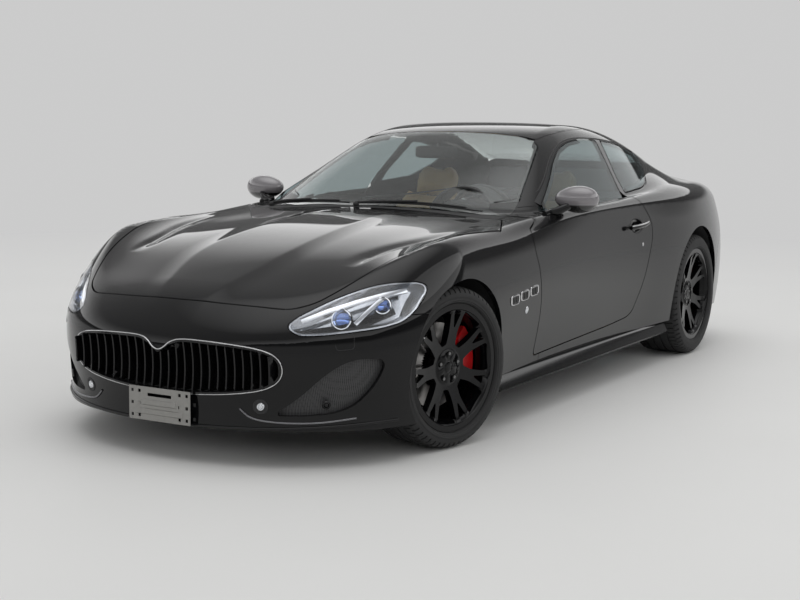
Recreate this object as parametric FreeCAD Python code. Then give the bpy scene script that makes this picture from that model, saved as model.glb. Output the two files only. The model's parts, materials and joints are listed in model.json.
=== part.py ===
import FreeCAD, Part
import math
import os
from bisect import bisect_right

# A two-door coupe at full size, in millimetres. +Z is up, the nose points to -Y, and the left side is +X.
# The origin lies on the ground under the middle of the car. Places along the car are given as stations,
# measured back from the tip of the nose.

V = FreeCAD.Vector

# Main sizes
LENGTH = 4910.0
HALF = LENGTH / 2
FRONT_AXLE = 902.0
WHEELBASE = 2942.0
REAR_AXLE = FRONT_AXLE + WHEELBASE
FRONT_TRACK = 1586.0
REAR_TRACK = 1590.0

# Running gaps and thicknesses
SHUT_GAP = 6.0
SEAM_GAP = 4.0
GLASS_GAP = 7.0
PANEL = 22.0
GLASS = 5.0
SEAT_GAP = 0.3
CURVE_GAP = 0.7
SEAT = 14.0
ROOF_T = 10.0
BONNET_T = 20.0
DOOR_SKIN = 25.0
DOOR_DEPTH = 80.0
DOOR_STEP = 38.0
DOOR_INNER_TOP = 872.0
BELT_LEDGE = 14.0
BUMPER = 26.0

# Wheels and tyres
FRONT_TYRE_R = 340.0
REAR_TYRE_R = 354.0
FRONT_TYRE_W = 245.0
REAR_TYRE_W = 285.0
RIM_R = 254.0
FLANGE_R = 268.0
SPOKES = 7
BOLTS = 5
BOLT_CIRCLE_R = 57.0
STEER_AT_REST = -12.0
FRONT_ARCH_R = 372.0
REAR_ARCH_R = 402.0
FRONT_ARCH_Z = 337.0
REAR_ARCH_Z = 356.0

# The hub line from which the side sections fan out
HUB_X = 300.0
HUB_Z = 480.0


def smooth_line(points):
    """A curve of continuous curvature through (place, value) points, straight beyond its ends."""
    xs = [float(p[0]) for p in points]
    ys = [float(p[1]) for p in points]
    n = len(xs)
    a, b, c, d = [0.0] * n, [1.0] * n, [0.0] * n, [0.0] * n
    for i in range(1, n - 1):
        h0 = xs[i] - xs[i - 1]
        h1 = xs[i + 1] - xs[i]
        a[i], b[i], c[i] = h0 / 6, (h0 + h1) / 3, h1 / 6
        d[i] = (ys[i + 1] - ys[i]) / h1 - (ys[i] - ys[i - 1]) / h0
    for i in range(1, n):
        w = a[i] / b[i - 1]
        b[i] -= w * c[i - 1]
        d[i] -= w * d[i - 1]
    m = [0.0] * n
    for i in range(n - 2, 0, -1):
        m[i] = (d[i] - c[i] * m[i + 1]) / b[i]

    def value(x):
        if x <= xs[0]:
            h = xs[1] - xs[0]
            return ys[0] + (x - xs[0]) * ((ys[1] - ys[0]) / h - h / 6 * m[1])
        if x >= xs[-1]:
            h = xs[-1] - xs[-2]
            return ys[-1] + (x - xs[-1]) * ((ys[-1] - ys[-2]) / h + h / 6 * m[-2])
        i = bisect_right(xs, x) - 1
        h = xs[i + 1] - xs[i]
        u = (xs[i + 1] - x) / h
        v = (x - xs[i]) / h
        return u * ys[i] + v * ys[i + 1] + ((u ** 3 - u) * m[i] + (v ** 3 - v) * m[i + 1]) * h * h / 6
    return value


def soft_max(a, b, r):
    """The larger of two values, rounded over with radius r where they meet."""
    p = a + r
    q = b + r
    if p > 0 and q > 0:
        return math.hypot(p, q) - r
    return max(a, b)


def soft_min(a, b, r):
    return -soft_max(-a, -b, r)


# Lines of the lower body along the car: deck at the centre, crest of the wings, and the dip between them
CENTRE_Z = smooth_line([(0, 470), (100, 556), (197, 632), (350, 702), (550, 768), (800, 826), (1100, 873),
                        (1400, 904), (1710, 926), (2200, 930), (3000, 940), (3800, 1035), (4060, 1060),
                        (4300, 1062), (4550, 1058), (4790, 1050), (4910, 1035)])
CREST_X = smooth_line([(0, 300), (212, 470), (412, 632), (611, 722), (811, 772), (1011, 800), (1210, 815),
                       (1410, 820), (1800, 835), (2500, 835), (3100, 840), (3500, 848), (3850, 850),
                       (4200, 815), (4500, 760), (4800, 690)])
CREST_Z = smooth_line([(0, 480), (212, 612), (412, 698), (611, 785), (811, 842), (1011, 872), (1210, 884),
                       (1410, 890), (1800, 915), (2500, 940), (3100, 965), (3500, 988), (3850, 1000),
                       (4200, 1000), (4500, 985), (4800, 950)])
DIP_Z = smooth_line([(0, 0), (212, 0), (500, 6), (811, 16), (1100, 20), (1500, 10), (2000, 0), (3500, 0),
                     (3900, 10), (4400, 12), (4800, 5)])
CREST_R = smooth_line([(0, 60), (600, 80), (1000, 90), (1500, 70), (2000, 40), (3000, 40), (3500, 70),
                       (4000, 100), (4900, 80)])

# Half-widths of the lower body at five levels, each a line along the car
LEVELS = [150.0, 350.0, 600.0, 780.0, 900.0]
SIDE_X = [
    smooth_line([(0, 800), (431, 880), (902, 895), (1400, 872), (2300, 852), (3100, 868), (3844, 900),
                 (4300, 870), (4600, 820), (4900, 760)]),
    smooth_line([(0, 800), (431, 905), (902, 925), (1400, 898), (2300, 880), (3100, 902), (3844, 945),
                 (4300, 900), (4600, 840), (4900, 770)]),
    smooth_line([(0, 800), (431, 912), (902, 938), (1400, 925), (2300, 905), (3100, 925), (3844, 957),
                 (4300, 912), (4600, 845), (4900, 770)]),
    smooth_line([(0, 760), (431, 890), (902, 912), (1400, 905), (2300, 898), (3100, 918), (3844, 945),
                 (4300, 893), (4600, 825), (4900, 750)]),
    smooth_line([(0, 700), (431, 830), (902, 862), (1400, 862), (2300, 876), (3100, 896), (3844, 915),
                 (4300, 862), (4600, 790), (4900, 710)]),
]
LEVEL_SHARE = [smooth_line([(z, 1.0 if i == j else 0.0) for j, z in enumerate(LEVELS)]) for i in range(5)]

# Nose and tail on the centre line, as stations at each height, with their bend in plan
NOSE_S = smooth_line([(120, 78), (230, 84), (330, 66), (424, 56), (520, 66), (600, 110), (700, 200)])
NOSE_BEND = (2.5e-4, 4.5e-10)
TAIL_S = smooth_line([(200, 4820), (300, 4860), (450, 4895), (600, 4908), (720, 4890), (850, 4850),
                      (1000, 4800), (1100, 4790)])
TAIL_BEND = (1.6e-4, 3.2e-10)
CORNER_R = 120.0

# Lines of the cabin along the car
ROOF_Z = smooth_line([(1500, 838), (1690, 926), (2000, 1082), (2250, 1203), (2467, 1294), (2650, 1334),
                      (2850, 1352), (3050, 1349), (3250, 1328), (3450, 1290), (3700, 1224), (3950, 1133),
                      (4150, 1050), (4300, 985)])
GLASS_X = smooth_line([(1500, 700), (1700, 745), (1950, 775), (2300, 792), (2700, 800), (3100, 795),
                       (3400, 778), (3700, 735), (4000, 665), (4200, 600)])
BELT_Z = smooth_line([(1500, 930), (2000, 942), (2600, 955), (3200, 985), (3800, 1000), (4200, 1000)])
LEAN = smooth_line([(1500, 0.60), (2467, 0.66), (3200, 0.66), (4200, 0.80)])
LEAN_BEND = 1.8e-4
ROOF_CROWN = (4.5e-5, 1.2e-10)
SCREEN_BEND = 1.6e-4
ROOF_R = 70.0
JOIN_R = smooth_line([(1500, 60), (1800, 25), (2300, 12), (3000, 15), (3400, 60), (3800, 130), (4200, 130)])


def deck_z(x, s):
    """Height of the bonnet, belt and boot deck at half-width x."""
    centre = CENTRE_Z(s)
    crest_x = CREST_X(s)
    crest_z = CREST_Z(s)
    dip = DIP_Z(s) / 2.37
    t = x / crest_x
    if t <= 1:
        return centre + (crest_z - centre) * t * t - dip * 16 * t ** 4 * (1 - t * t)
    slope = (2 * (crest_z - centre) + 32 * dip) / crest_x
    over = x - crest_x
    return crest_z + slope * over - 0.0012 * over * over


def side_x(s, z):
    return sum(share(z) * line(s) for share, line in zip(LEVEL_SHARE, SIDE_X))


def lower_body(x, s, z):
    side = x - side_x(s, z)
    nose = NOSE_S(z) + NOSE_BEND[0] * x * x + NOSE_BEND[1] * x ** 4 - s
    tail = s - (TAIL_S(z) - TAIL_BEND[0] * x * x - TAIL_BEND[1] * x ** 4)
    return soft_max(z - deck_z(x, s), soft_max(side, max(nose, tail), CORNER_R), CREST_R(s))


def cabin(x, s, z):
    crown = ROOF_CROWN[0] * x * x + ROOF_CROWN[1] * x ** 4
    top = z - (ROOF_Z(s - SCREEN_BEND * x * x) - crown)
    rise = soft_max(z - BELT_Z(s), -60.0, 40.0)
    side = x - (GLASS_X(s) - LEAN(s) * rise - LEAN_BEND * rise * rise)
    return soft_max(top / 1.12, side / 1.2, ROOF_R)


def skin(p):
    """Below zero inside the car's outer form, zero on it. p is (x, station, z)."""
    x = abs(p[0])
    low = lower_body(x, p[1], p[2])
    if p[1] < 1500 or p[1] > 4400:
        return low
    return soft_min(low, cabin(x, p[1], p[2]), JOIN_R(p[1]))


def side_glass(p):
    """The cabin's side without its lower limit, for panes that run down into the doors."""
    rise = p[2] - BELT_Z(p[1])
    return (abs(p[0]) - (GLASS_X(p[1]) - LEAN(p[1]) * rise - LEAN_BEND * rise * rise)) / 1.2


def low_form(p):
    """The lower body alone, for panels that run in under the cabin."""
    return lower_body(abs(p[0]), p[1], p[2])


def reach(start, way, form=skin, far=2600.0, step=70.0):
    """Where a straight line from a start inside the car leaves its skin."""
    def value(t):
        return form([o + d * t for o, d in zip(start, way)])
    a = 0.0
    fa = value(a)
    while a < far:
        b = a + step
        fb = value(b)
        if fb > 0 >= fa:
            break
        a, fa = b, fb
    for turn in range(30):
        m = b - fb * (b - a) / (fb - fa)
        fm = value(m)
        if abs(fm) < 1e-5:
            break
        if fm > 0:
            b, fb = m, fm
            fa *= 0.6
        else:
            a, fa = m, fm
            fb *= 0.6
    return [o + d * m for o, d in zip(start, way)]


def outward(p, form=skin):
    """The skin's outward direction at a point."""
    e = 0.6
    g = []
    for i in range(3):
        hi = list(p)
        lo = list(p)
        hi[i] += e
        lo[i] -= e
        g.append(form(hi) - form(lo))
    n = math.sqrt(sum(k * k for k in g))
    return [k / n for k in g]


def place(x, s, z):
    return V(x, s - HALF, z)


def side_point(s, angle):
    """A point of the skin on the side section at a station, at an angle in degrees above level."""
    a = math.radians(angle)
    return reach([HUB_X, s, HUB_Z], [math.cos(a), 0.0, math.sin(a)])


def top_point(x, s):
    return reach([x, s, 380.0], [0.0, 0.0, 1.0])


def fan_point(base_s, base_z, x, angle):
    """A point of the skin in a plane of constant x, at an angle in degrees above level, to the rear."""
    a = math.radians(angle)
    return reach([x, base_s, base_z], [0.0, math.cos(a), math.sin(a)])


def spread(low, high, n):
    return [low + (high - low) * i / (n - 1) for i in range(n)]


def sheet(rows, inset, form=skin):
    """A smooth face through a grid of skin points, sunk by inset under the skin."""
    grid = []
    for row in rows:
        line = []
        for p in row:
            n = outward(p, form) if inset else (0, 0, 0)
            line.append(place(*[c - k * inset for c, k in zip(p, n)]))
        grid.append(line)
    surface = Part.BSplineSurface()
    surface.interpolate(grid)
    return surface


def slab(rows, inset, thickness, form=skin):
    """A closed solid between two sunk sheets over the same grid of skin points."""
    outer = sheet(rows, inset, form)
    inner = sheet(rows, inset + thickness, form)
    faces = [outer.toShape(), inner.toShape()]
    u0, u1, v0, v1 = outer.bounds()
    p0, p1, q0, q1 = inner.bounds()
    rims = [(outer.uIso(u0), inner.uIso(p0)), (outer.uIso(u1), inner.uIso(p1)),
            (outer.vIso(v0), inner.vIso(q0)), (outer.vIso(v1), inner.vIso(q1))]
    for one, two in rims:
        faces.append(Part.makeRuledSurface(one.toShape(), two.toShape(), 1))
    shell = Part.Shell(faces)
    shell.sewShape()
    solid = Part.Solid(shell)
    p = rows[len(rows) // 2][len(rows[0]) // 2]
    n = outward(p, form)
    middle = place(*[c - k * (inset + thickness / 2) for c, k in zip(p, n)])
    if not solid.isInside(middle, 0.01, False):
        solid.reverse()
    return solid


def ring(marks, grow=0.0):
    """Flat outline from corner marks (a, b, radius), grown outward by a margin. Radius 0 keeps a sharp
    corner and None rounds as far as the sides allow. Gives (a, b) points and bulge centres as edges."""
    n = len(marks)
    area = sum(marks[i][0] * marks[(i + 1) % n][1] - marks[(i + 1) % n][0] * marks[i][1] for i in range(n))
    turn = 1.0 if area > 0 else -1.0
    sides = []
    for i in range(n):
        ax, ay = marks[i][0], marks[i][1]
        bx, by = marks[(i + 1) % n][0], marks[(i + 1) % n][1]
        run = math.hypot(bx - ax, by - ay)
        ux, uy = (bx - ax) / run, (by - ay) / run
        sides.append((ax + uy * grow * turn, ay - ux * grow * turn, ux, uy))
    corners = []
    for i in range(n):
        px, py, ux, uy = sides[i - 1]
        qx, qy, vx, vy = sides[i]
        cross = ux * vy - uy * vx
        if abs(cross) < 1e-6:
            corners.append((qx, qy))
            continue
        t = ((qx - px) * vy - (qy - py) * vx) / cross
        corners.append((px + ux * t, py + uy * t))
    starts, ends, middles = [], [], []
    for i in range(n):
        cx, cy = corners[i]
        px, py = corners[i - 1]
        qx, qy = corners[(i + 1) % n]
        la = math.hypot(cx - px, cy - py)
        lb = math.hypot(qx - cx, qy - cy)
        ax, ay = (px - cx) / la, (py - cy) / la
        bx, by = (qx - cx) / lb, (qy - cy) / lb
        cosine = max(-1.0, min(1.0, -(ax * bx + ay * by)))
        bend = math.acos(cosine)
        radius = marks[i][2]
        cut = 0.49 * min(la, lb)
        if radius is not None:
            cut = min(cut, radius * math.tan(bend / 2))
        if cut < 0.01 or bend < 0.002:
            starts.append((cx, cy))
            ends.append((cx, cy))
            middles.append(None)
            continue
        s = (cx + ax * cut, cy + ay * cut)
        e = (cx + bx * cut, cy + by * cut)
        rad = cut / math.tan(bend / 2)
        mx, my = ax + bx, ay + by
        m = math.hypot(mx, my)
        depth = math.hypot(rad, cut) - rad
        starts.append(s)
        ends.append(e)
        middles.append((cx + mx / m * depth, cy + my / m * depth))
    return starts, middles, ends


def prism(marks, plane, low, high, grow=0.0):
    """A straight prism over a flat outline. plane maps (a, b, depth) to a point in the car's frame."""
    starts, middles, ends = ring(marks, grow)
    edges = []
    n = len(starts)
    for i in range(n):
        s, m, e = starts[i], middles[i], ends[i]
        if m is not None:
            edges.append(Part.Arc(plane(s[0], s[1], low), plane(m[0], m[1], low),
                                  plane(e[0], e[1], low)).toShape())
        nxt = starts[(i + 1) % n]
        if math.hypot(nxt[0] - e[0], nxt[1] - e[1]) > 1e-4:
            edges.append(Part.makeLine(plane(e[0], e[1], low), plane(nxt[0], nxt[1], low)))
    face = Part.Face(Part.Wire(edges))
    return face.extrude(plane(0, 0, high) - plane(0, 0, low))


def plan(a, b, depth):
    return place(a, b, depth)


def side(a, b, depth):
    return place(depth, a, b)


def front(a, b, depth):
    return place(a, depth, b)


LAMP_TURN = math.radians(50.0)


def corner(a, b, depth):
    """The plane of the headlamps and corner intakes: a runs along the corner, depth runs out of it."""
    return place(a * math.cos(LAMP_TURN) + depth * math.sin(LAMP_TURN),
                 a * math.sin(LAMP_TURN) - depth * math.cos(LAMP_TURN), b)


REAR_TURN = math.radians(45.0)
REAR_REF = 4400.0


def tail_corner(a, b, depth):
    """The plane of the tail lamps: a runs along the rear corner, depth runs out of it."""
    return place(a * math.cos(REAR_TURN) + depth * math.sin(REAR_TURN),
                 REAR_REF - a * math.sin(REAR_TURN) + depth * math.cos(REAR_TURN), b)


def mirrored(shape):
    return shape.mirror(V(0, 0, 0), V(1, 0, 0))


def box(x0, x1, s0, s1, z0, z1):
    return Part.makeBox(x1 - x0, s1 - s0, z1 - z0, place(x0, s0, z0))


def solid_of(shape):
    """The largest solid of a shape, which drops slivers that a cut leaves."""
    return max(shape.Solids, key=lambda k: k.Volume)


# Shut lines and openings. Plan marks are (x, station, radius), side marks (station, z, radius) and front
# marks (x, z, radius). A radius of None rounds as far as the sides allow.
def both_sides(marks):
    """Close a plan or front outline over the centre line: marks run from x = 0 round the +X side."""
    other = [(-m[0],) + tuple(m[1:]) for m in reversed(marks) if m[0] > 0]
    return marks + other


BONNET = both_sides([(0, 196, None), (148, 200, None), (293, 210, None), (441, 233, None), (505, 252, None),
                     (578, 311, None), (630, 406, None), (682, 525, None), (735, 700, None),
                     (780, 850, None), (808, 1000, None), (825, 1150, None), (838, 1290, None),
                     (848, 1384, 30), (809, 1471, None), (723, 1650, 25), (400, 1664, None), (0, 1668, None)])
SCREEN = both_sides([(0, 1702, None), (300, 1710, None), (550, 1734, None), (690, 1768, 40),
                     (676, 1901, None), (643, 2031, None), (606, 2179, None), (570, 2313, None),
                     (540, 2425, 60), (432, 2484, None), (250, 2486, None), (0, 2487, None)])
ROOF = both_sides([(0, 2491, None), (300, 2490, None), (440, 2488, None), (508, 2476, 25),
                   (520, 2650, None), (523, 2850, None), (515, 3050, None), (498, 3220, None),
                   (470, 3296, 25), (250, 3312, None), (0, 3318, None)])
BACKLIGHT = both_sides([(0, 3322, None), (250, 3316, None), (462, 3300, 50), (500, 3500, None),
                        (528, 3750, None), (545, 3930, None), (520, 4012, 60), (250, 4030, None),
                        (0, 4034, None)])
BOOT = both_sides([(0, 4050, None), (250, 4046, None), (540, 4028, None), (600, 4075, 60),
                   (622, 4200, None), (622, 4400, None), (600, 4600, None), (560, 4760, None),
                   (545, 5050, 0)])
DOOR = [(1687, 276, 20), (2151, 290, None), (2639, 308, None), (2856, 326, None), (2915, 352, 60),
        (3017, 501, None), (3072, 639, None), (3120, 752, None), (3116, 830, None), (3050, 905, None),
        (2958, 985, 10), (2600, 968, None), (1965, 951, None), (1880, 944, 20), (1745, 899, None),
        (1640, 868, 15), (1637, 760, None), (1660, 700, None), (1694, 560, None), (1704, 443, None)]
DOOR_GLASS = [(1965, 925, 0), (2012, 970, 20), (2205, 1062, None), (2367, 1150, None), (2521, 1214, None),
              (2666, 1247, None), (2833, 1262, None), (3046, 1256, 14), (2990, 1120, None),
              (2950, 1010, None), (2935, 925, 0)]
QUARTER_GLASS = [(3112, 1252, 14), (3250, 1241, None), (3400, 1213, None), (3600, 1172, 30),
                 (3560, 1100, None), (3440, 1030, None), (3300, 1000, None), (3015, 982, 14),
                 (3020, 1060, None), (3065, 1150, None)]

# The dip of the headlamp and intake outlines is read in the corner plane
LAMP = [(482, 560, 30), (528, 592, None), (600, 624, None), (690, 660, None), (780, 688, None),
        (866, 710, None), (960, 718, None), (1040, 716, None), (1078, 700, 18), (1060, 660, None),
        (1010, 612, None), (950, 572, None), (860, 553, None), (720, 540, None), (600, 531, None),
        (520, 531, None)]
INTAKE = [(870, 428, 25), (848, 366, None), (800, 300, None), (745, 250, None), (670, 222, None),
          (560, 212, None), (430, 212, 20), (480, 250, None), (540, 300, None), (600, 362, None),
          (680, 418, None), (760, 440, None)]
GRILLE = both_sides([(0, 446, 12), (52, 480, 20), (95, 496, None), (200, 496, None), (330, 490, None),
                     (440, 478, None), (508, 452, None), (530, 400, None), (512, 350, None),
                     (455, 316, None), (350, 296, None), (200, 281, None), (0, 273, None)])
TAIL_LAMP = [(172, 866, 12), (180, 925, 16), (290, 938, None), (420, 936, None), (500, 915, 25),
             (455, 862, None), (350, 826, None), (230, 812, None)]
REAR_SEAM = [(4150, 100, 0), (4232, 420, 0), (4262, 520, None), (4400, 690, None), (4560, 800, None),
             (4640, 868, 20), (5100, 868, 0), (5100, 100, 0)]
SILL_Z = 238.0
WING_END = 1760.0
QUARTER_TURN = 4200.0
TURN_R = 520.0


def side_fan(s, angle):
    """Side sections that turn round the rear corner past the last straight station."""
    if s <= QUARTER_TURN:
        return side_point(s, angle)
    turn = (s - QUARTER_TURN) / TURN_R
    a = math.radians(angle)
    way = [math.cos(turn) * math.cos(a), math.sin(turn) * math.cos(a), math.sin(a)]
    return reach([HUB_X, QUARTER_TURN, HUB_Z], way)


def sill_angle(s, z=SILL_Z):
    return math.degrees(math.atan2(z - HUB_Z, side_x(min(s, QUARTER_TURN), z) - HUB_X))


def rows_side(s0, s1, n, low, high, m):
    """Grid of skin points over stations s0 to s1 and from angle low(s) to high(s)."""
    return [[side_fan(s, low(s) + (high(s) - low(s)) * j / (m - 1)) for j in range(m)]
            for s in spread(s0, s1, n)]


def rows_top(s0, s1, n, half, m):
    return [[top_point(half(s) * (2.0 * j / (m - 1) - 1), s) for j in range(m)] for s in spread(s0, s1, n)]


def rows_round(base, low_turn, high_turn, n, low, high, m, way):
    """Grid of skin points round the nose (way 1) or the tail (way -1)."""
    out = []
    for turn in spread(low_turn, high_turn, n):
        a = math.radians(turn)
        out.append([reach([0.0, base, z], [math.sin(a), -way * math.cos(a), 0.0])
                    for z in spread(low, high(turn), m)])
    return out


def rows_fan(base_s, base_z, half, n, low, high, m):
    return [[fan_point(base_s, base_z, x, a) for a in spread(low, high, m)] for x in spread(-half, half, n)]


WING_TOP = smooth_line([(380, 44), (800, 52), (1300, 52), (1500, 52), (1800, 52)])
SIDE_TOP = smooth_line([(1760, 52), (2031, 63), (2313, 72), (2500, 76), (3000, 78), (3300, 77.5), (3700, 76),
                        (4000, 70), (4150, 64), (4400, 62), (4700, 62), (4900, 62)])

wing_rows = rows_side(380, WING_END - SEAM_GAP / 2, 32, sill_angle, WING_TOP, 32)
side_rows = rows_side(WING_END + SEAM_GAP / 2, 4835, 62, sill_angle, SIDE_TOP, 58)


def pane(rows, marks, plane, low, high, form=skin):
    return solid_of(slab(rows, 0, GLASS, form).common(prism(marks, plane, low, high)))


def cylinder_x(s, z, r, x0, x1):
    return Part.makeCylinder(r, x1 - x0, place(x0, s, z), V(1, 0, 0))


def tube_x(s, z, r0, r1, x0, x1):
    return cylinder_x(s, z, r1, x0, x1).cut(cylinder_x(s, z, r0, x0 - 1, x1 + 1))


def extruded(marks, plane, low, high):
    return prism([m if len(m) == 3 else m + (0,) for m in marks], plane, low, high)


def joined(shapes):
    out = shapes[0]
    if len(shapes) > 1:
        out = out.fuse(shapes[1:])
    return out


nodes = {}


def keep(name, shape):
    nodes[name] = shape
    good = shape.isValid() and shape.Volume > 0
    print(name, 'ok' if good else 'BAD', len(shape.Solids), round(shape.Volume / 1e6, 2))


def pair(name, shape):
    """A piece of the left side and its mirror image on the right, each a node."""
    keep(name + '_left', shape)
    keep(name + '_right', mirrored(shape))


def both(shape):
    """A piece of the left side and its mirror image on the right, in one node."""
    return Part.makeCompound(shape.Solids + mirrored(shape).Solids)


# Openings shared by several panels
ARCH_S = 915.0
REAR_ARCH_S = 3850.0
COWL_X = 694.0
WING_SEAM_Z = 592.0
BOOT_LOW_Z = 762.0
front_arch = cylinder_x(ARCH_S, FRONT_ARCH_Z, FRONT_ARCH_R, 500, 1100)
rear_arch = cylinder_x(REAR_ARCH_S, REAR_ARCH_Z, REAR_ARCH_R, 500, 1100)
lamp_hole = prism(LAMP, corner, 0, 1300, SEAM_GAP)
bonnet_hole = prism(BONNET, plan, 400, 1100, SHUT_GAP / 2)
boot_hole = prism(BOOT, plan, BOOT_LOW_Z - SHUT_GAP, 1500, SHUT_GAP / 2)
door_hole = prism(DOOR, side, 500, 1100, SHUT_GAP / 2)
tail_hole = prism(TAIL_LAMP, tail_corner, 0, 1000, SEAM_GAP)
screen_seat = prism(SCREEN, plan, 700, 1500, -SEAT)
screen_rim = prism(SCREEN, plan, 700, 1500, GLASS_GAP)
NOSE_SEAM = [(540, 367), (617, 399), (700, 433), (740, 449), (1200, 449)]
bumper_zone = extruded([(300, 100), (300, 268)] + NOSE_SEAM + [(1200, 100)], plan, 300, 1100)
wing_zone = extruded(NOSE_SEAM + [(1200, 1000), (540, 1000)], plan, WING_SEAM_Z, 1100)
cowl_zone = box(0, COWL_X + SEAM_GAP / 2, 1500, 1800, 500, 1200)


def rebate(rows, rims, depth=GLASS):
    """The recess that panes lie in, over a panel made on the same grid."""
    layer = slab(rows, -3.0, 3.0 + depth + CURVE_GAP)
    return [layer.common(rim) for rim in rims]


# Wings with the three vents behind the arch
blank = slab(wing_rows, 0, PANEL)
below_seam = box(300, 1200, 300, ARCH_S, 0, WING_SEAM_Z + SEAM_GAP)
vents = []
for i in range(3):
    s0 = 1345 + i * 106
    z0 = 549 + i * 10.5
    vents.append(prism([(s0, z0, 8), (s0 + 88, z0 + 6, 8), (s0 + 84, z0 + 48, 8), (s0 - 4, z0 + 42, 8)],
                       side, 860, 1000))
pair('wing', solid_of(blank.cut([bonnet_hole, front_arch, lamp_hole, below_seam, door_hole, cowl_zone,
                                 bumper_zone] + vents)))

# Body sides: sill, rear quarter, C-pillar, cant rail and A-pillar in one piece
blank = slab(side_rows, 0, PANEL)
glass_hole = prism(DOOR_GLASS, side, 300, 1100, GLASS_GAP)
roof_hole = prism(ROOF, plan, 900, 1500, -SEAT)
roof_rim = prism(ROOF, plan, 900, 1500, SEAM_GAP / 2)
rear_hole = prism(REAR_SEAM, side, 0, 1100, SEAM_GAP / 2)
blank = blank.cut([rear_arch, door_hole, glass_hole, roof_hole, boot_hole, rear_hole, tail_hole])
quarter_rim = prism(QUARTER_GLASS, side, 300, 1100, GLASS_GAP)
light_rim = prism(BACKLIGHT, plan, 900, 1500, GLASS_GAP)
blank = blank.cut([prism(QUARTER_GLASS, side, 300, 1100, -SEAT), screen_seat,
                   prism(BACKLIGHT, plan, 900, 1500, -SEAT)])
blank = blank.cut(rebate(side_rows, [quarter_rim, screen_rim, light_rim], GLASS + 2 * CURVE_GAP)
                  + rebate(side_rows, [roof_rim], ROOF_T + 2.5 * CURVE_GAP))
pair('body_side', solid_of(blank))

# Bonnet, cowl, roof, screens and boot lid
bonnet_half = smooth_line([(175, 350), (233, 480), (311, 600), (406, 665), (525, 718), (700, 775), (850, 818),
                           (1000, 842), (1150, 856), (1400, 876), (1690, 880)])
bonnet_rows = rows_top(175, 1690, 34, bonnet_half, 29)
bonnet = slab(bonnet_rows, 0, BONNET_T).common(prism(BONNET, plan, 400, 1100, -SHUT_GAP / 2))
keep('bonnet', solid_of(bonnet))

cowl_rows = rows_top(1630, 1800, 8, lambda s: 715.0, 21)
cowl_edge = COWL_X - SEAM_GAP / 2
cowl = slab(cowl_rows, 0, PANEL).common(box(-cowl_edge, cowl_edge, 1600, 1790, 500, 1200))
cowl = cowl.cut([bonnet_hole, screen_seat]).cut(rebate(cowl_rows, [screen_rim]))
keep('cowl', solid_of(cowl))

screen_half = smooth_line([(1685, 720), (2100, 660), (2500, 560)])
screen_rows = rows_top(1685, 2500, 22, screen_half, 23)
keep('windscreen', pane(screen_rows, SCREEN, plan, 700, 1500))

roof_rows = rows_top(2455, 3345, 22, lambda s: 560.0, 23)
keep('roof', solid_of(slab(roof_rows, 0, ROOF_T).common(prism(ROOF, plan, 900, 1500, -SEAM_GAP / 2))))

light_half = smooth_line([(3285, 520), (3700, 560), (4050, 590)])
light_rows = rows_top(3285, 4050, 20, light_half, 21)
keep('rear_window', pane(light_rows, BACKLIGHT, plan, 900, 1500))

boot_rows = rows_fan(4150, 640, 640, 27, 5, 104, 32)
boot = slab(boot_rows, 0, BONNET_T).common(prism(BOOT, plan, BOOT_LOW_Z, 1500, -SHUT_GAP / 2))
keep('boot_lid', solid_of(boot))

quarter_rows = rows_side(2980, 3660, 18, lambda s: 44.0, lambda s: 73.0, 18)
keep('quarter_windows', both(pane(quarter_rows, QUARTER_GLASS, side, 300, 1100)))

# Doors: outer skin, stepped inner panel, and frameless glass standing in a slot


def belt_angle(s):
    """Angle of the top edge of a door's skin, just outside the glass."""
    return math.degrees(math.atan2(CREST_Z(s) - HUB_Z, GLASS_X(s) + BELT_LEDGE - HUB_X))


def glass_row(s, low, high, n):
    return [reach([HUB_X, s, z], [1.0, 0.0, 0.0], side_glass) for z in spread(low, high, n)]


def door_grid(low, high, n, m):
    out = []
    for s in spread(1590, 3170, n):
        row = []
        for angle in spread(low(s), high(s), m):
            a = math.radians(angle)
            row.append(reach([HUB_X, s, HUB_Z], [math.cos(a), 0.0, math.sin(a)], low_form))
        out.append(row)
    return out


def inner_top(s):
    return sill_angle(s, DOOR_INNER_TOP)


door_outer = slab(door_grid(sill_angle, belt_angle, 30, 30), 0, DOOR_SKIN, low_form)
door_outer = door_outer.common(prism(DOOR, side, 500, 1100, -SHUT_GAP / 2))
door_inner = slab(door_grid(sill_angle, inner_top, 24, 20), DOOR_SKIN - 2, DOOR_DEPTH, low_form)
door_inner = door_inner.common(prism(DOOR, side, 500, 1100, -DOOR_STEP))
glass_rows = [glass_row(s, 895.0, 1285.0, 20) for s in spread(1930, 3090, 24)]
door_glass = pane(glass_rows, DOOR_GLASS, side, 300, 1100, side_glass)
slot = slab(glass_rows, -SEAT_GAP, GLASS + 2 * SEAT_GAP, side_glass)
slot = slot.common(prism(DOOR_GLASS, side, 300, 1100, SEAT_GAP))
handle = extruded([(2790, 912), (2795, 940), (3000, 944), (3010, 916), (2985, 928), (2815, 926)],
                  lambda a, b, d: place(b, a, d), 802, 824)
pair('door', solid_of(door_outer.fuse([door_inner, handle]).cut(slot)))
pair('door_glass', door_glass)

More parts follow.
